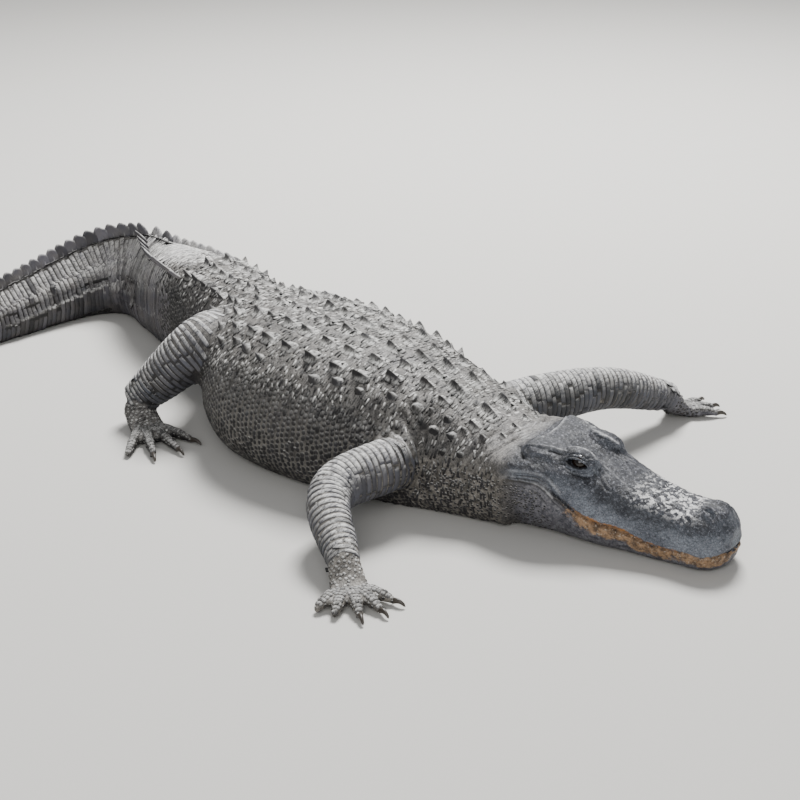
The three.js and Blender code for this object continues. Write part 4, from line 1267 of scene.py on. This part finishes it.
def seats_of(rows, twist=0.0):
    """Seats for plates that each have their own keel height."""
    return merged([body_seats([row[:4]], row[4], twist) for row in rows])


back = seats_of(back_rows(), 0.04)
plates = lay_scales("back_plates", keeled_template(), back, root=6)
spurs = seats_of(spur_rows(), 0.15)
lay_scales("flank_spurs", spur_template(), spurs, root=4)

# Short cross wrinkles of dry skin, which run over the plates too
NAPE_BARE = 488
WRINKLE_PITCH = 7.2
WRINKLE_ACROSS = 23
WRINKLE_REACH = [(450, 330), (520, 380), (640, 420), (720, 270), (820, 250), (1200, 240), (1600, 130)]
wrinkle_reach = smooth_table(WRINKLE_REACH)


def wrinkle_rows():
    """Short wrinkles in cross rows, with gaps, as (station, arc, length, width)."""
    rows = []
    for s in np.arange(452, 1700, WRINKLE_PITCH):
        shift = vary(WRINKLE_ACROSS / 2)
        reach = float(wrinkle_reach(s))
        for arc in np.arange(-reach, reach, WRINKLE_ACROSS):
            size = random.uniform(0.7, 1.25)
            bare = s < NAPE_BARE and abs(arc) < 125
            if random.random() < 0.86 and not bare:
                spot = s + vary(2.2), arc + shift + vary(5)
                rows.append((*spot, WRINKLE_PITCH * 0.8 * size, WRINKLE_ACROSS * size))
    return rows


plate_tree = BVHTree.FromPolygons(*joined_mesh(plates))
wrinkles = body_seats(wrinkle_rows(), 2.3, 0.16, plate_tree)
wrinkles["tall"] *= random.uniform(0.4, 1.5, len(wrinkles["tall"]))
wrinkles["tone"] += 0.8 * noise(wrinkles["at"], 46, 6)
wrinkles["tall"] *= np.interp(spine_chart(wrinkles["at"])[:, 0], (560, 700), (0.5, 1))
# a spare draw, which keeps the scales that follow as they are
random.random(len(wrinkles["tall"]))
lay_scales("dry_wrinkles", scale_template(4, 0.22, 0.8), wrinkles)

# The crest of the tail: two rows that merge into one past the tail's bend
CREST_FIRST = 1600
CREST_LAST = 3090
CREST_MERGE = 1950
crest_pitch = smooth_table([(1593, 40), (1950, 31), (2200, 29), (3100, 20)])
crest_side = smooth_table([(1593, 96), (1800, 66), (1950, 10)])
CREST_HEIGHT = [(1593, 14), (1750, 24), (1950, 38), (2150, 40), (2500, 32), (2900, 17), (3100, 5)]
crest_height = smooth_table(CREST_HEIGHT)


def crest_stations():
    """The front edge of each crest plate, and the end of the last."""
    stations = [CREST_FIRST]
    while stations[-1] < CREST_LAST:
        stations.append(stations[-1] + float(crest_pitch(stations[-1])))
    return stations


def crest_seats():
    """Seats of the crest plates: leaning out where there are two rows, and upright in the single row."""
    groups = []
    for s in crest_stations()[:-1]:
        pitch, tall = float(crest_pitch(s)), float(crest_height(s)) + vary(1.5)
        sides = (1, -1) if s < CREST_MERGE else (0,)
        thick = min(11, 1.1 * float(half_at(s)))
        for side in sides:
            seat = body_seats([(s, side * float(crest_side(s)), pitch * 1.5, thick)], tall)
            if len(seat["at"]):
                seat["out"] = unit(seat["out"] + (0, 0, 0.55)) if side else np.array([[0, 0, 1.0]])
                seat["across"] = np.cross(seat["out"], seat["along"])
            groups.append(seat)
    return merged(groups)


crest = crest_seats()
lay_scales("tail_crest", fin_template(), crest, root=7)

# Whorls of plates round the tail, and diagonal rows of scales on the flanks
FLANK_PITCH = 9.6
FLANK_ACROSS = 11.5
TAIL_FINE = 1980
flank_top = smooth_table([(600, 190), (820, 225), (1100, 230), (1300, 190), (1600, 110)])


def tail_rows():
    """Rings of wide plates, three to a crest plate and two where the tail is thin."""
    rows = []
    stations = crest_stations()
    for s, after in zip(stations[:-1], stations[1:]):
        pitch = after - s
        half_arc = float(back_at(s)) * 1.25 + float(half_at(s)) * 0.9
        width = max(18, 74 - 44 * (s - CREST_FIRST) / 1500)
        arcs = np.arange(width / 2 if s < CREST_MERGE else width * 0.6, half_arc, width)
        bands = 3 if s < TAIL_FINE else 2
        for part in range(bands):
            shift = vary(4)
            for arc in np.append(arcs, arcs[-1:] + width):
                for side in (1, -1):
                    spot = s + pitch * (part + 0.5) / bands + vary(0.6), side * (arc + shift + vary(1.5))
                    rows.append((*spot, pitch / bands * (0.86 + vary(0.05)), width * 1.2))
    return rows


def flank_rows():
    """Small scales in rows that step by half a scale, thinning out where the tail begins."""
    rows = []
    for i, s in enumerate(np.arange(632, 1680, FLANK_PITCH)):
        shift = FLANK_ACROSS / 2 * (i % 2)
        for arc in np.arange(float(flank_top(s)) + shift, 560, FLANK_ACROSS):
            for side in (1, -1):
                if random.random() < (s - CREST_FIRST) / 70:
                    continue
                size = 1.04 + vary(0.1)
                spot = s + vary(1.8), side * (arc + vary(2.2))
                sizes = FLANK_PITCH * size * (1 + vary(0.1)), FLANK_ACROSS * size * (1.04 + vary(0.12))
                rows.append((*spot, *sizes))
    return rows


def clear_of(seats, points, margin):
    """Which points lie off the given scales by a margin, measured in each scale's own directions."""
    tree = KDTree(len(seats["at"]))
    for i, spot in enumerate(seats["at"]):
        tree.insert(spot, i)
    tree.balance()
    free = np.ones(len(points), bool)
    for i, point in enumerate(points):
        for _, j, _ in tree.find_n(point, 4):
            away = point - seats["at"][j]
            u = abs(away @ seats["along"][j]) - seats["length"][j] / 2
            v = abs(away @ seats["across"][j]) - seats["width"][j] / 2
            if u < margin and v < margin:
                free[i] = False
                break
    return free


def picked(seats, mask):
    """The seats inside the mask."""
    return {key: values[mask] for key, values in seats.items()}


flank = body_seats(flank_rows(), 1.0, 0.16)
flank["tall"] *= random.uniform(0.7, 1.4, len(flank["tall"]))
flank = picked(flank, clear_of(merged([back, spurs]), flank["at"], 1))
lay_scales("flank_scales", scale_template(8, 0.07, 0.8, 2.6), flank)
tail = body_seats(tail_rows(), 1.5, 0.02)
tail["tall"] *= np.interp(spine_chart(tail["at"])[:, 0], (CREST_FIRST, CREST_FIRST + 100), (0.2, 1))
lay_scales("tail_scales", curved_template(), tail, draped=True)

# Cross rows of scales round the limbs, closer towards the wrist
LIMB_PITCH = (14.5, 9.6)
LIMB_ACROSS = 44


def limb_seats(index, limb):
    """Cross rows over a limb from the trunk to the wrist."""
    steps = np.diff(limb_point(limb, np.linspace(0, 1, 40)), axis=0)
    span = float(np.linalg.norm(steps, axis=1).sum())
    girth = smooth_table(limb["girth"])
    ts, angles, widths, lengths = [], [], [], []
    t = 0.08
    while t < 1:
        pitch = LIMB_PITCH[0] + (LIMB_PITCH[1] - LIMB_PITCH[0]) * t + vary(1)
        t += pitch / span
        start = vary(math.pi)
        around = 2 * math.pi * float(girth(t)) * (1 + LIMB_FLATNESS) / 2
        count = int(around / LIMB_ACROSS)
        for k in range(count):
            ts.append(min(t, 1))
            angles.append(2 * math.pi * (k + vary(0.12)) / count + start)
            widths.append(around / count * (0.98 + vary(0.04)))
            lengths.append(pitch * 0.9)
    t, angle = np.array(ts), np.array(angles)
    point = limb_surface(limb, t, angle)
    centre, along, _, _ = limb_frame(limb, t)
    out = unit(point - centre)
    turn = angle % (2 * math.pi) / (2 * math.pi)
    chart = np.stack([0.01 + 0.24 * index + 0.22 * t, 0.52 + 0.46 * turn], axis=-1)
    sizes = np.array(lengths), np.array(widths), 1.9
    return settle(point, along, out, *sizes, chart, on_body=False, twist=0.03)


limbs = merged([limb_seats(index, limb) for index, limb in enumerate(LIMBS.values())])
lay_scales("limb_scales", curved_template(), limbs, draped=True)

# Plates over the toes
toe_groups = []
for index, (name, limb) in enumerate(LIMBS.items()):
    for number, (root, ahead, length, _) in enumerate(toe_lines(name, limb)):
        reach = toe_reach(limb, length)
        us = np.arange(12, reach - 4, 9.0) / reach
        for offset in (-0.7, 0, 0.7):
            point = root + ahead * (us * reach)[:, None]
            point[:, 2] = toe_height(us)
            across = np.array([-ahead[1], ahead[0], 0])
            out = np.tile(unit(np.array([0, 0, 1.0]) + across * offset), (len(us), 1))
            along = np.tile(ahead, (len(us), 1))
            level = np.full(len(us), 0.5 + 0.09 * number + 0.02 * offset)
            chart = np.stack([0.01 + 0.24 * index + 0.2 * us, level], axis=-1)
            sizes = np.full(len(us), 9.2), np.full(len(us), 8.5), 1.6
            toe_groups.append(settle(point, along, out, *sizes, chart, on_body=False))
toes = merged(toe_groups)
lay_scales("toe_scales", scale_template(8, 0.12, 0.8, 3), toes, root=2)


# Small rounded scales wherever the rows leave the skin bare

granule_size = smooth_table([(430, 6), (520, 7), (700, 8), (1500, 9), (3100, 8)])
GRANULE_TRIES = 70000
GRANULE_CELL = 12


def skin_samples(count):
    """Seeded points spread evenly over the skin, with the skin's normals there."""
    mesh = skin.data
    mesh.calc_loop_triangles()
    corners = np.empty(3 * len(mesh.loop_triangles), int)
    mesh.loop_triangles.foreach_get("vertices", corners)
    corners = corners.reshape(-1, 3)
    spots = points_of(skin)
    a, b, c = (spots[corners[:, k]] for k in range(3))
    area = np.linalg.norm(np.cross(b - a, c - a), axis=1)
    area *= np.where((a[:, 2] < FLOOR_SKIP) & (b[:, 2] < FLOOR_SKIP), 0, 1)
    picks = random.choice(len(corners), count, p=area / area.sum())
    u, v = random.random((2, count, 1))
    u, v = np.where(u + v > 1, 1 - u, u), np.where(u + v > 1, 1 - v, v)
    point = a[picks] + u * (b[picks] - a[picks]) + v * (c[picks] - a[picks])
    normal = unit(skin_normals[corners[picks]].mean(axis=1))
    return point, normal


def apart(points, sizes):
    """Which of the points to keep so that small scales of their sizes don't lie on each other."""
    cells, taken = {}, []
    near = (-1, 0, 1)
    for i, (spot, wide) in enumerate(zip(points, sizes)):
        x, y, z = (spot // GRANULE_CELL).astype(int)
        around = [(x + dx, y + dy, z + dz) for dx in near for dy in near for dz in near]
        crowd = [j for cell in around for j in cells.get(cell, ())]
        if not any(np.abs(spot - points[j]).max() < wide
                   and np.linalg.norm(spot - points[j]) < 0.43 * (wide + sizes[j]) for j in crowd):
            cells.setdefault((x, y, z), []).append(i)
            taken.append(i)
    return taken


def granule_seats(laid):
    """Seats for small scales, apart from each other and clear of the scales laid so far."""
    point, normal = skin_samples(GRANULE_TRIES)
    chart = spine_chart(point)
    s, side, height = chart.T
    jaw = (height < mouth_at(s) - np.interp(s, (330, 430), (26, 8))) & (s > 330 + 60 * random.random(len(s)))
    keep = ((s > NAPE_BARE) | ((s >= HEAD_END) & (height < 128)) | jaw) & (point[:, 2] > FLOOR_SKIP)
    low = height < np.interp(s, (440, 660, 720, 1600), (40, 40, 120, 120))
    keep &= low | (s > 1690) | jaw | (np.abs(side) > 320)
    size = granule_size(s) * random.uniform(0.85, 1.15, len(s))
    size[(s < HEAD_END) & jaw] *= 0.85
    for limb in LIMBS.values():
        paw = np.linalg.norm(point - limb_point(limb, 1)[0], axis=1) < 170
        size[paw & (point[:, 2] < 60)] = 7
    seats = picked({"at": point, "out": normal, "where": chart, "width": size}, keep)
    seats = picked(seats, clear_of(laid, seats["at"], 1.5))
    seats = picked(seats, apart(seats["at"], seats["width"]))
    normal, chart, size = seats["out"], seats.pop("where"), seats["width"]
    heading = np.radians(heading_at(chart[:, 0]))
    along = np.stack([np.cos(heading), np.sin(heading), np.zeros(len(heading))], axis=-1)
    along = unit(along - normal * (along * normal).sum(axis=1)[:, None])
    creased = crease_share(chart)
    turn = np.arctan2(chart[:, 2] - widest_at(chart[:, 0]), chart[:, 1]) / (2 * math.pi) % 1
    away = (beyond_body(chart) > 1.1) * np.clip(np.abs(chart[:, 1]) / 700, 0, 1)
    patch = 0.01 + 0.97 * np.stack([chart[:, 0] / TOTAL_LENGTH, 0.5 * turn + 0.5 * away], axis=-1)
    return seats | {
        "along": along, "across": np.cross(normal, along), "length": size * 1.08, "chart": patch,
        "tall": (0.1 * size + 0.2) * (1 - CREASE_LOWER * creased),
        # painted shade: small scales in creases get a darker tone
        "tone": random.normal(0, 1, len(size)) - CREASE_PAINTED_SHADE * creased,
    }


laid = merged([back, spurs, crest, flank, tail, limbs, toes])
granules = granule_seats(laid)
lay_scales("small_scales", scale_template(6, 0.18, 0.7), granules, root=1.6)


# Materials

def colour(code):
    """An sRGB hex code as a linear colour."""
    parts = [int(code[i:i + 2], 16) / 255 for i in (1, 3, 5)]
    return tuple(c / 12.92 if c <= 0.04045 else ((c + 0.055) / 1.055) ** 2.4 for c in parts) + (1,)


# The steps that the finishes are built from: node, sockets in the order they are filled, output, and settings
STEPS = {
    "place": ("TexCoord", (), "Object", {}),
    "facing": ("NewGeometry", (), "Normal", {}),
    "upright": ("SeparateXYZ", ("Vector",), "Z", {}),
    "painted": ("Attribute", (), "Fac", {}),
    "noise": ("TexNoise", ("Vector", "Scale", "Detail", "Roughness"), 0, {"Detail": 3, "Roughness": 0.55}),
    "cells": ("TexVoronoi", ("Vector", "Scale"), "Distance", {"feature": "DISTANCE_TO_EDGE"}),
    "stretch": ("VectorMath", (0, 1), "Vector", {"operation": "MULTIPLY"}),
    "range": ("MapRange", ("Value", "From Min", "From Max", "To Min", "To Max"), "Result", {}),
    "times": ("Math", (0, 1), 0, {"operation": "MULTIPLY"}),
    "plus": ("Math", (0, 1), 0, {"operation": "ADD"}),
    "minus": ("Math", (0, 1), 0, {"operation": "SUBTRACT"}),
    "size": ("Math", (0,), 0, {"operation": "ABSOLUTE"}),
    "mix": ("Mix", (0, 6, 7), 2, {"data_type": "RGBA"}),
    "shade": ("Mix", (6, 7), 2, {"data_type": "RGBA", "blend_type": "MULTIPLY", 0: 1.0}),
    "bump": ("Bump", ("Height", "Strength", "Distance"), "Normal", {}),
    "shader": ("BsdfPrincipled", ("Base Color", "Roughness", "IOR", "Specular IOR Level"), "BSDF", {}),
    "output": ("OutputMaterial", ("Surface",), None, {}),
}
# Refractive indices of keratin, of a wet eye and of claw horn
HIDE_IOR = 1.5
EYE_IOR = 1.38
HORN_IOR = 1.54


def add_step(tree, step, *values, **more):
    """Adds a step's node and gives its output. Values and other outputs fill its sockets, in the step's
    order or by name, and whatever isn't a socket is a setting of the node."""
    kind, sockets, output, usual = STEPS[step]
    node = tree.nodes.new("ShaderNode" + kind)
    for key, value in {**usual, **more, **dict(zip(sockets, values))}.items():
        if isinstance(value, bpy.types.NodeSocket):
            tree.links.new(value, node.inputs[key])
        elif isinstance(key, int) or key in node.inputs:
            node.inputs[key].default_value = value
        else:
            setattr(node, key, value)
    return None if output is None else node.outputs[output]


def new_material(name):
    """An empty material, and the function that adds steps to it."""
    material = bpy.data.materials.new(name)
    material.use_nodes = True
    material.node_tree.nodes.clear()
    return material, partial(add_step, material.node_tree)


def every(size_mm):
    """The texture scale whose features are about this many millimetres across."""
    return 1000 / size_mm


def blotches(add, where, size_mm, edges, detail=3, roughness=0.55, to=(0.0, 1.0)):
    """Soft-edged patches of about the given size: noise drawn out between its edges."""
    return add("range", add("noise", where, every(size_mm), detail, roughness), *edges, *to)


def wrinkled(add, where, sizes_mm):
    """Fine wrinkles, each about as long, wide and tall as given: 0 in each line and 1 between the lines."""
    stretched = add("stretch", where, [every(size) for size in sizes_mm])
    ripple = add("noise", stretched, 1.0, 2, 0.5)
    return add("range", add("size", add("minus", ripple, 0.5)), 0.0, 0.055)


def hide_markings(add):
    """Markings that skin and scales share: blue-black to brown-black hide in hand-wide and thumb-wide
    patches, with painted shade that darkens it low down towards the floor, and pale dust on what faces up."""
    where = add("place")
    broad = blotches(add, where, 210, (0.38, 0.62))
    patchy = blotches(add, where, 34, (0.3, 0.7))
    base = add("mix", broad, colour("#242528"), colour("#363538"))
    base = add("mix", add("times", patchy, 0.5), base, colour("#39352f"))
    height = add("upright", where)
    # painted shade near the floor: darker low down, a little lighter high up
    base = add("shade", base, add("range", height, 0.02, 0.24, 0.72, 1.12))
    upward = add("range", add("upright", add("facing")), 0.15, 0.8)
    powder = blotches(add, where, 14, (0.34, 0.6), 5, 0.7, to=(0.4, 1.0))
    lines = wrinkled(add, where, (4.6, 24, 24))
    dust = add("times", add("times", upward, powder), add("range", lines, 0.0, 1.0, 0.05, 1.0))
    return where, base, dust, upward, height, lines


SKIN_PAINT = ("skull", "jaw", "net", "neck", "crease", "frost", "snout", "lip", "chin")


def skin_material():
    """Weathered hide, bare on the skull and between the scales: dry, with cracks about 5 mm apart, dusty
    above, blue-grey with pale flecks on the skull, and tan to orange along the lips."""
    material, add = new_material("weathered_hide")
    where, base, dust, upward, _, _ = hide_markings(add)
    skull, jaw, net, neck, crease, frost, snout, lip, chin = (
        add("painted", attribute_name=name) for name in SKIN_PAINT
    )
    # the skull, painted light and shade by facing: blue-grey where it faces sideways, nearly black where it
    # faces up, streaked and flecked
    patches = blotches(add, where, 46, (0.35, 0.65))
    sides = add("mix", patches, colour("#585c65"), colour("#7d838c"))
    tops = add("mix", patches, colour("#191b21"), colour("#2b2d35"))
    streaks = wrinkled(add, where, (34, 5, 5))
    bone = add("shade", add("mix", upward, sides, tops), add("range", streaks, 0.0, 1.0, 0.5, 1.05))
    flecks = blotches(add, where, 5.5, (0.54, 0.68), roughness=0.7)
    base = add("mix", skull, base, add("mix", add("times", flecks, 0.65), bone, colour("#94969e")))
    # the mottled jaw, the pale skin that shows as a net between the flank's scales, and the slack neck
    mottled = blotches(add, where, 9, (0.38, 0.62), 4, 0.7)
    base = add("mix", jaw, base, add("mix", mottled, colour("#3f3f46"), colour("#77767b")))
    broken = blotches(add, where, 30, (0.36, 0.56), to=(0.3, 1.0))
    base = add("mix", add("times", net, broken), base, colour("#65625d"))
    slack = blotches(add, where, 12, (0.38, 0.62), 4, 0.7)
    base = add("mix", neck, base, add("mix", slack, colour("#423f3b"), colour("#86817a")))
    # dust, least on the skull, then the snout's pale spots, partly dust and partly painted highlight, and the
    # painted highlight on the ridges
    dusty = add("mix", add("times", dust, add("range", skull, 0.0, 1.0, 0.6, 0.03)), base, colour("#b4b0aa"))
    # pale spots on the snout's top, partly dust and partly painted highlight
    spots = add("times", blotches(add, where, 9, (0.51, 0.57), roughness=0.6), snout)
    dusty = add("mix", add("times", spots, 0.9), dusty, colour("#dcdbda"))
    # painted highlight along the ridges and the lips of the folds
    dusty = add("mix", add("times", frost, 0.9), dusty, colour("#cfcfd0"))
    crack = add("range", add("cells", where, every(5)), 0.0, 0.16, 0.62, 1.0)
    shaded = add("shade", dusty, crack)
    # tan along the lower lip and rusty orange along the upper one, both with ragged edges
    stain = blotches(add, where, 13, (0.4, 0.62), 4, 0.7)
    uneven = add("times", add("minus", add("noise", where, every(26), 5, 0.75), 0.5), 2.6)
    tan = add("mix", stain, colour("#574636"), colour("#ab8a68"))
    tan = add("mix", blotches(add, where, 5, (0.58, 0.7), roughness=0.7), tan, colour("#cdc2b2"))
    orange = add("mix", stain, colour("#6b4423"), colour("#b07a3e"))
    for edge, reach, most, stained in ((chin, 0.62, 0.9, tan), (lip, 0.6, 0.85, orange)):
        ragged = add("range", add("plus", edge, uneven), 0.3, reach, 0.0, most)
        shaded = add("mix", add("times", ragged, add("range", edge, 0.0, 0.2)), shaded, stained)
    # painted shade: the creases of the skin are darkened to near black
    final = add("mix", crease, shaded, colour("#09090b"))
    relief = add("plus", add("times", crack, 1.4), add("noise", where, every(2.2), 2))
    rough = blotches(add, where, 18, (0.3, 0.7), to=(0.42, 0.7))
    add("output", add("shader", final, rough, HIDE_IOR, 0.28, Normal=add("bump", relief, 0.6, 0.001)))
    return material


def scale_material(name, net, dusting, wrinkle, keel=0.0, crack=0.2, tint=(1, 1, 1), dusted=(-2.6, -0.6),
                   groove=0.0):
    """Horny scales: painted shade in the cracks between them, worn pale rims that make a net low on the
    flank, wrinkled and dusty where they face up, and darker where the horn of a keel rises. Dusted is the
    span of a scale's own tone over which it takes dust, and groove is how high the painted shade of the
    cracks reaches."""
    material, add = new_material(name)
    where, base, dust, _, height, lines = hide_markings(add)
    tone = add("painted", attribute_name="tone")
    rise = add("painted", attribute_name="rise")
    base = add("shade", base, add("range", tone, -2.4, 2.4, 0.42, 1.5))
    base = add("shade", base, (*tint, 1))
    bare = add("range", tone, *dusted, 0.12, 1.0)
    horn = add("range", rise, 0.2, 0.75, 1.0, 1.0 - keel)
    share = add("times", add("times", bare, horn), dusting)
    dusty = add("mix", add("times", dust, share), base, colour("#eceae5"))
    low = add("range", height, 0.25, 0.13, 0.25, 1.0)
    broken = blotches(add, where, 30, (0.36, 0.6), to=(0.35, 1.0))
    rim = add("times", add("times", add("range", rise, 0.74, 0.4), low), broken)
    worn = add("mix", add("times", add("times", rim, net), bare), dusty, colour("#a5a29b"))
    # painted shade: each scale is darkened low on its sides, down in the cracks between scales
    final = add("shade", worn, add("range", rise, -0.2, groove, crack, 1.0))
    relief = add("plus", add("times", lines, wrinkle), add("noise", where, every(2.4)))
    rough = blotches(add, where, 18, (0.3, 0.7), to=(0.46, 0.74))
    add("output", add("shader", final, rough, HIDE_IOR, 0.26, Normal=add("bump", relief, 0.85, 0.0014)))
    return material


def wet_eye_material():
    """A wet dark brown eye with a narrow upright pupil under a clear, glossy surface."""
    material, add = new_material("wet_eye")
    iris = add("mix", add("noise", add("place"), every(3), 4), colour("#0c0704"), colour("#20130a"))
    final = add("mix", add("painted", attribute_name="pupil"), iris, colour("#050404"))
    add("output", add("shader", final, 0.16, EYE_IOR, **{"Coat Weight": 0.3, "Coat Roughness": 0.05}))
    return material


def horn_material():
    """Worn dark horn of the claws, mottled brown and half glossy."""
    material, add = new_material("claw_horn")
    where = add("place")
    worn = add("mix", add("noise", where, every(5), 5), colour("#1c1917"), colour("#4a4239"))
    bump = add("bump", add("noise", where, every(1.5), 2), 0.4, 0.0004)
    add("output", add("shader", worn, 0.42, HORN_IOR, Normal=bump))
    return material


# Paint that follows the sculpted forms
chart = spine_chart(points_of(skin))
s, side, height = chart.T
# how deep each point lies in a fold, for the painted shade in the creases
creases = np.zeros(len(s))
stroke(chart, creases, 1.0, 2.6, mouth_line())
for depth, width, knots in HEAD_STROKES.values():
    if depth < 0:
        stroke(chart, creases, min(1, -depth / 3), width, smooth_line(knots))
for station, _ in NECK_FOLDS:
    stroke(chart, creases, 0.75, 1.7, neck_fold(station))
on_trunk = fade(s, 600, 660) * fade(s, 1640, 1580) * (beyond_body(chart) < 1.1)
on_jaw = fade(height, mouth_at(s) - 6, mouth_at(s) - 14)
on_neck = fade(s, 400, 450) * fade(s, 700, 640) * fade(height, mouth_at(s) + 30, mouth_at(s))
edge_of_face = np.abs(side) > head_half_at(s) * snout_round(s, 2.3) * 0.7
over = height - mouth_at(s)
lower = fade(over, 3, -1) * fade(over, -30, -16)
lower *= np.interp(s, (0, 90, 150, 200, 260, 330), (1, 0.62, 0.85, 1, 0.8, 0))
upper = 0.9 * np.exp(-((over - 3) / 3.4) ** 2) * np.interp(s, (60, 120, 170, 280, 330), (0.15, 0.75, 1, 1, 0))
# painted shade in the creases and along the mouth line
paint(skin, "crease", np.clip(creases + crease_share(chart), 0, 1) * 0.85)
# painted highlight along the ridges and the lips of the folds
paint(skin, "frost", pale_ridges)
paint(skin, "snout", snout_top)
paint(skin, "net", on_trunk * fade(height, 205, 135) * fade(s, 1150, 1090))
paint(skin, "jaw", on_jaw * fade(s, 440, 380))
paint(skin, "neck", on_neck)
paint(skin, "skull", fade(s, HEAD_END, HEAD_END - 30) * (height > mouth_at(s) - 4))
paint(skin, "chin", lower * edge_of_face)
paint(skin, "lip", upper * edge_of_face * (s < 340))

skin.data.materials.append(skin_material())
finishes = {
    # old keratin plates: dusty between the keels, which are rubbed bare and dark
    "back_plates": scale_material("dusty_keeled_plates", 0.0, 0.75, 0.9, keel=0.85, crack=0.7),
    "flank_spurs": scale_material("flank_spurs", 0.0, 0.6, 0.5, keel=0.6, crack=0.7),
    # dead outer skin in short cross wrinkles: the palest of all, with painted shade in the lines between
    "dry_wrinkles": scale_material("dry_wrinkled_skin", 0.0, 1.0, 0.2, crack=0.12, dusted=(-0.8, 0.4),
                                   groove=0.5),
    # thin, clean horn of the crest: smooth mid grey
    "tail_crest": scale_material("crest_plates", 0.2, 0.6, 0.2, tint=(3.2, 3.25, 3.5)),
    # small flat scales of the flank: dark, with the pale net of their worn rims low down
    "flank_scales": scale_material("flank_scales", 0.34, 0.36, 0.3, crack=0.6, tint=(0.7, 0.7, 0.71)),
    # narrow plates in rings round tail and limbs: pale dry grey ribs with painted shade in the grooves
    "tail_scales": scale_material("tail_whorls", 0.1, 0.9, 0.2, crack=0.1, tint=(3.05, 3.05, 3.2),
                                  groove=0.5),
    "limb_scales": scale_material("limb_plates", 0.0, 0.8, 0.3, crack=0.1, tint=(3.2, 3.4, 3.7), groove=0.7),
    "toe_scales": scale_material("toe_plates", 0.25, 0.5, 0.2, tint=(1.5, 1.55, 1.6)),
    # soft pebbled hide of neck, hands and feet: grey grains, dusty on top
    "small_scales": scale_material("small_round_scales", 0.1, 0.75, 0.3, crack=0.5),
}
for piece in bpy.context.scene.objects:
    finish = finishes.get(piece.name.rsplit("_", 1)[0])
    if finish:
        piece.data.materials.append(finish)


# Eyes and claws

wet_eye = wet_eye_material()
horn = horn_material()


def make_eye(name, side):
    """A ball with a clear bulge in front, and its pupil painted by place."""
    deselect()
    centre = place(EYE[0], side * EYE[1], EYE[2])
    bpy.ops.mesh.primitive_uv_sphere_add(segments=48, ring_count=32, radius=1)
    ball = bpy.context.object
    ball.name = f"ball_of_{name}"
    ball.data.name = ball.name
    points = points_of(ball) * MM
    gaze = unit(place(EYE[0] - 5, side * (EYE[1] + 30), EYE[2] + 6) - centre)
    front = points @ gaze
    swell = 1 + 0.05 * np.clip((front - 0.72) / 0.28, 0, 1) ** 1.5
    up = np.array([0, 0, 1.0])
    ahead = unit(np.cross(gaze, up))
    slit = np.hypot(points @ ahead / 0.09, points @ up / 0.5)
    paint(ball, "pupil", fade(slit, 1.3, 0.8) * (front > 0))
    move_points(ball, centre + points * swell[:, None] * (EYE_RADIUS + 0.2))
    ball.data.shade_smooth()
    ball.data.materials.append(wet_eye)
    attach(ball, "root")
    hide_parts(name)


def make_claw(name, root, ahead, reach, length):
    """A horn cone that curves down to its point, a little flattened at the sides."""
    deselect()
    bpy.ops.mesh.primitive_cone_add(vertices=14, radius1=1, radius2=0.08, depth=1, location=(0, 0, 0.5))
    claw = bpy.context.object
    claw.name = f"horn_{name}"
    claw.data.name = claw.name
    bpy.ops.object.transform_apply(location=True)
    bpy.ops.object.mode_set(mode="EDIT")
    for level in range(1, CLAW_LEVELS):
        bpy.ops.mesh.select_all(action="SELECT")
        bpy.ops.mesh.bisect(plane_co=(0, 0, level / CLAW_LEVELS), plane_no=(0, 0, 1))
    bpy.ops.object.mode_set(mode="OBJECT")
    x, y, z = (points_of(claw) * MM).T
    full = np.sqrt(np.clip(1 - z, 0, 1)) / np.maximum(1 - z, 0.08) * 0.9 + 0.1
    along = -4 + z * (length + 4)
    lift = 9 + 5 * np.sin(z * 2.3) - 8.5 * z * z
    across = np.array([-ahead[1], ahead[0], 0])
    points = root + ahead * (reach + along)[:, None] + across * (5 * x * full)[:, None]
    points[:, 2] = np.maximum(lift + 6.3 * y * full, 0.6)
    move_points(claw, points)
    face_outward(claw)
    claw.data.shade_smooth()
    claw.data.materials.append(horn)
    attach(claw, "root")
    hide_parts(name)


for hand, side in (("left", 1), ("right", -1)):
    make_eye(f"eye_{hand}", side)
for name, limb in LIMBS.items():
    kind, hand = name.split("_")
    paw_name = "hand" if kind == "arm" else "foot"
    for number, (root, ahead, length, clawed) in enumerate(toe_lines(name, limb)):
        if clawed:
            make_claw(f"claw_{paw_name}_{hand}_{number + 1}", root, ahead, toe_reach(limb, length),
                      CLAW_LENGTHS[paw_name])


# The floor, light and camera

bpy.ops.mesh.primitive_plane_add(size=60)
floor = bpy.context.object
floor.name = "floor"
pale_floor, add = new_material("pale_matt_floor")
add("output", add("shader", colour("#c6c4bf"), 0.9))
floor.data.materials.append(pale_floor)


def area_light(name, location, target, size, watts):
    """A square soft light at its place, turned to its target."""
    data = bpy.data.lights.new(name, "AREA")
    data.size = size
    data.energy = watts
    light = bpy.data.objects.new(name, data)
    light.location = location
    light.rotation_euler = (Vector(target) - Vector(location)).to_track_quat("-Z", "Y").to_euler()
    bpy.context.scene.collection.objects.link(light)


area_light("overhead", (-2.0, 3.0, 5.2), (-0.2, 0, 0), 2.0, 1010)
area_light("front_fill", (3.2, -3.4, 2.8), (0, 0, 0), 3.0, 115)
world = bpy.data.worlds.new("studio")
world.use_nodes = True
backdrop = world.node_tree.nodes["Background"]
backdrop.inputs["Color"].default_value = colour("#e6e8ec")
backdrop.inputs["Strength"].default_value = 0.42
bpy.context.scene.world = world

camera_data = bpy.data.cameras.new("camera")
camera_data.lens = CAMERA_LENS
camera_data.sensor_width = CAMERA_SENSOR
camera = bpy.data.objects.new("camera", camera_data)
camera.location = CAMERA_PLACE
camera.rotation_euler = (math.radians(90 - CAMERA_PITCH), 0, math.radians(CAMERA_TURN))
bpy.context.scene.collection.objects.link(camera)
bpy.context.scene.camera = camera
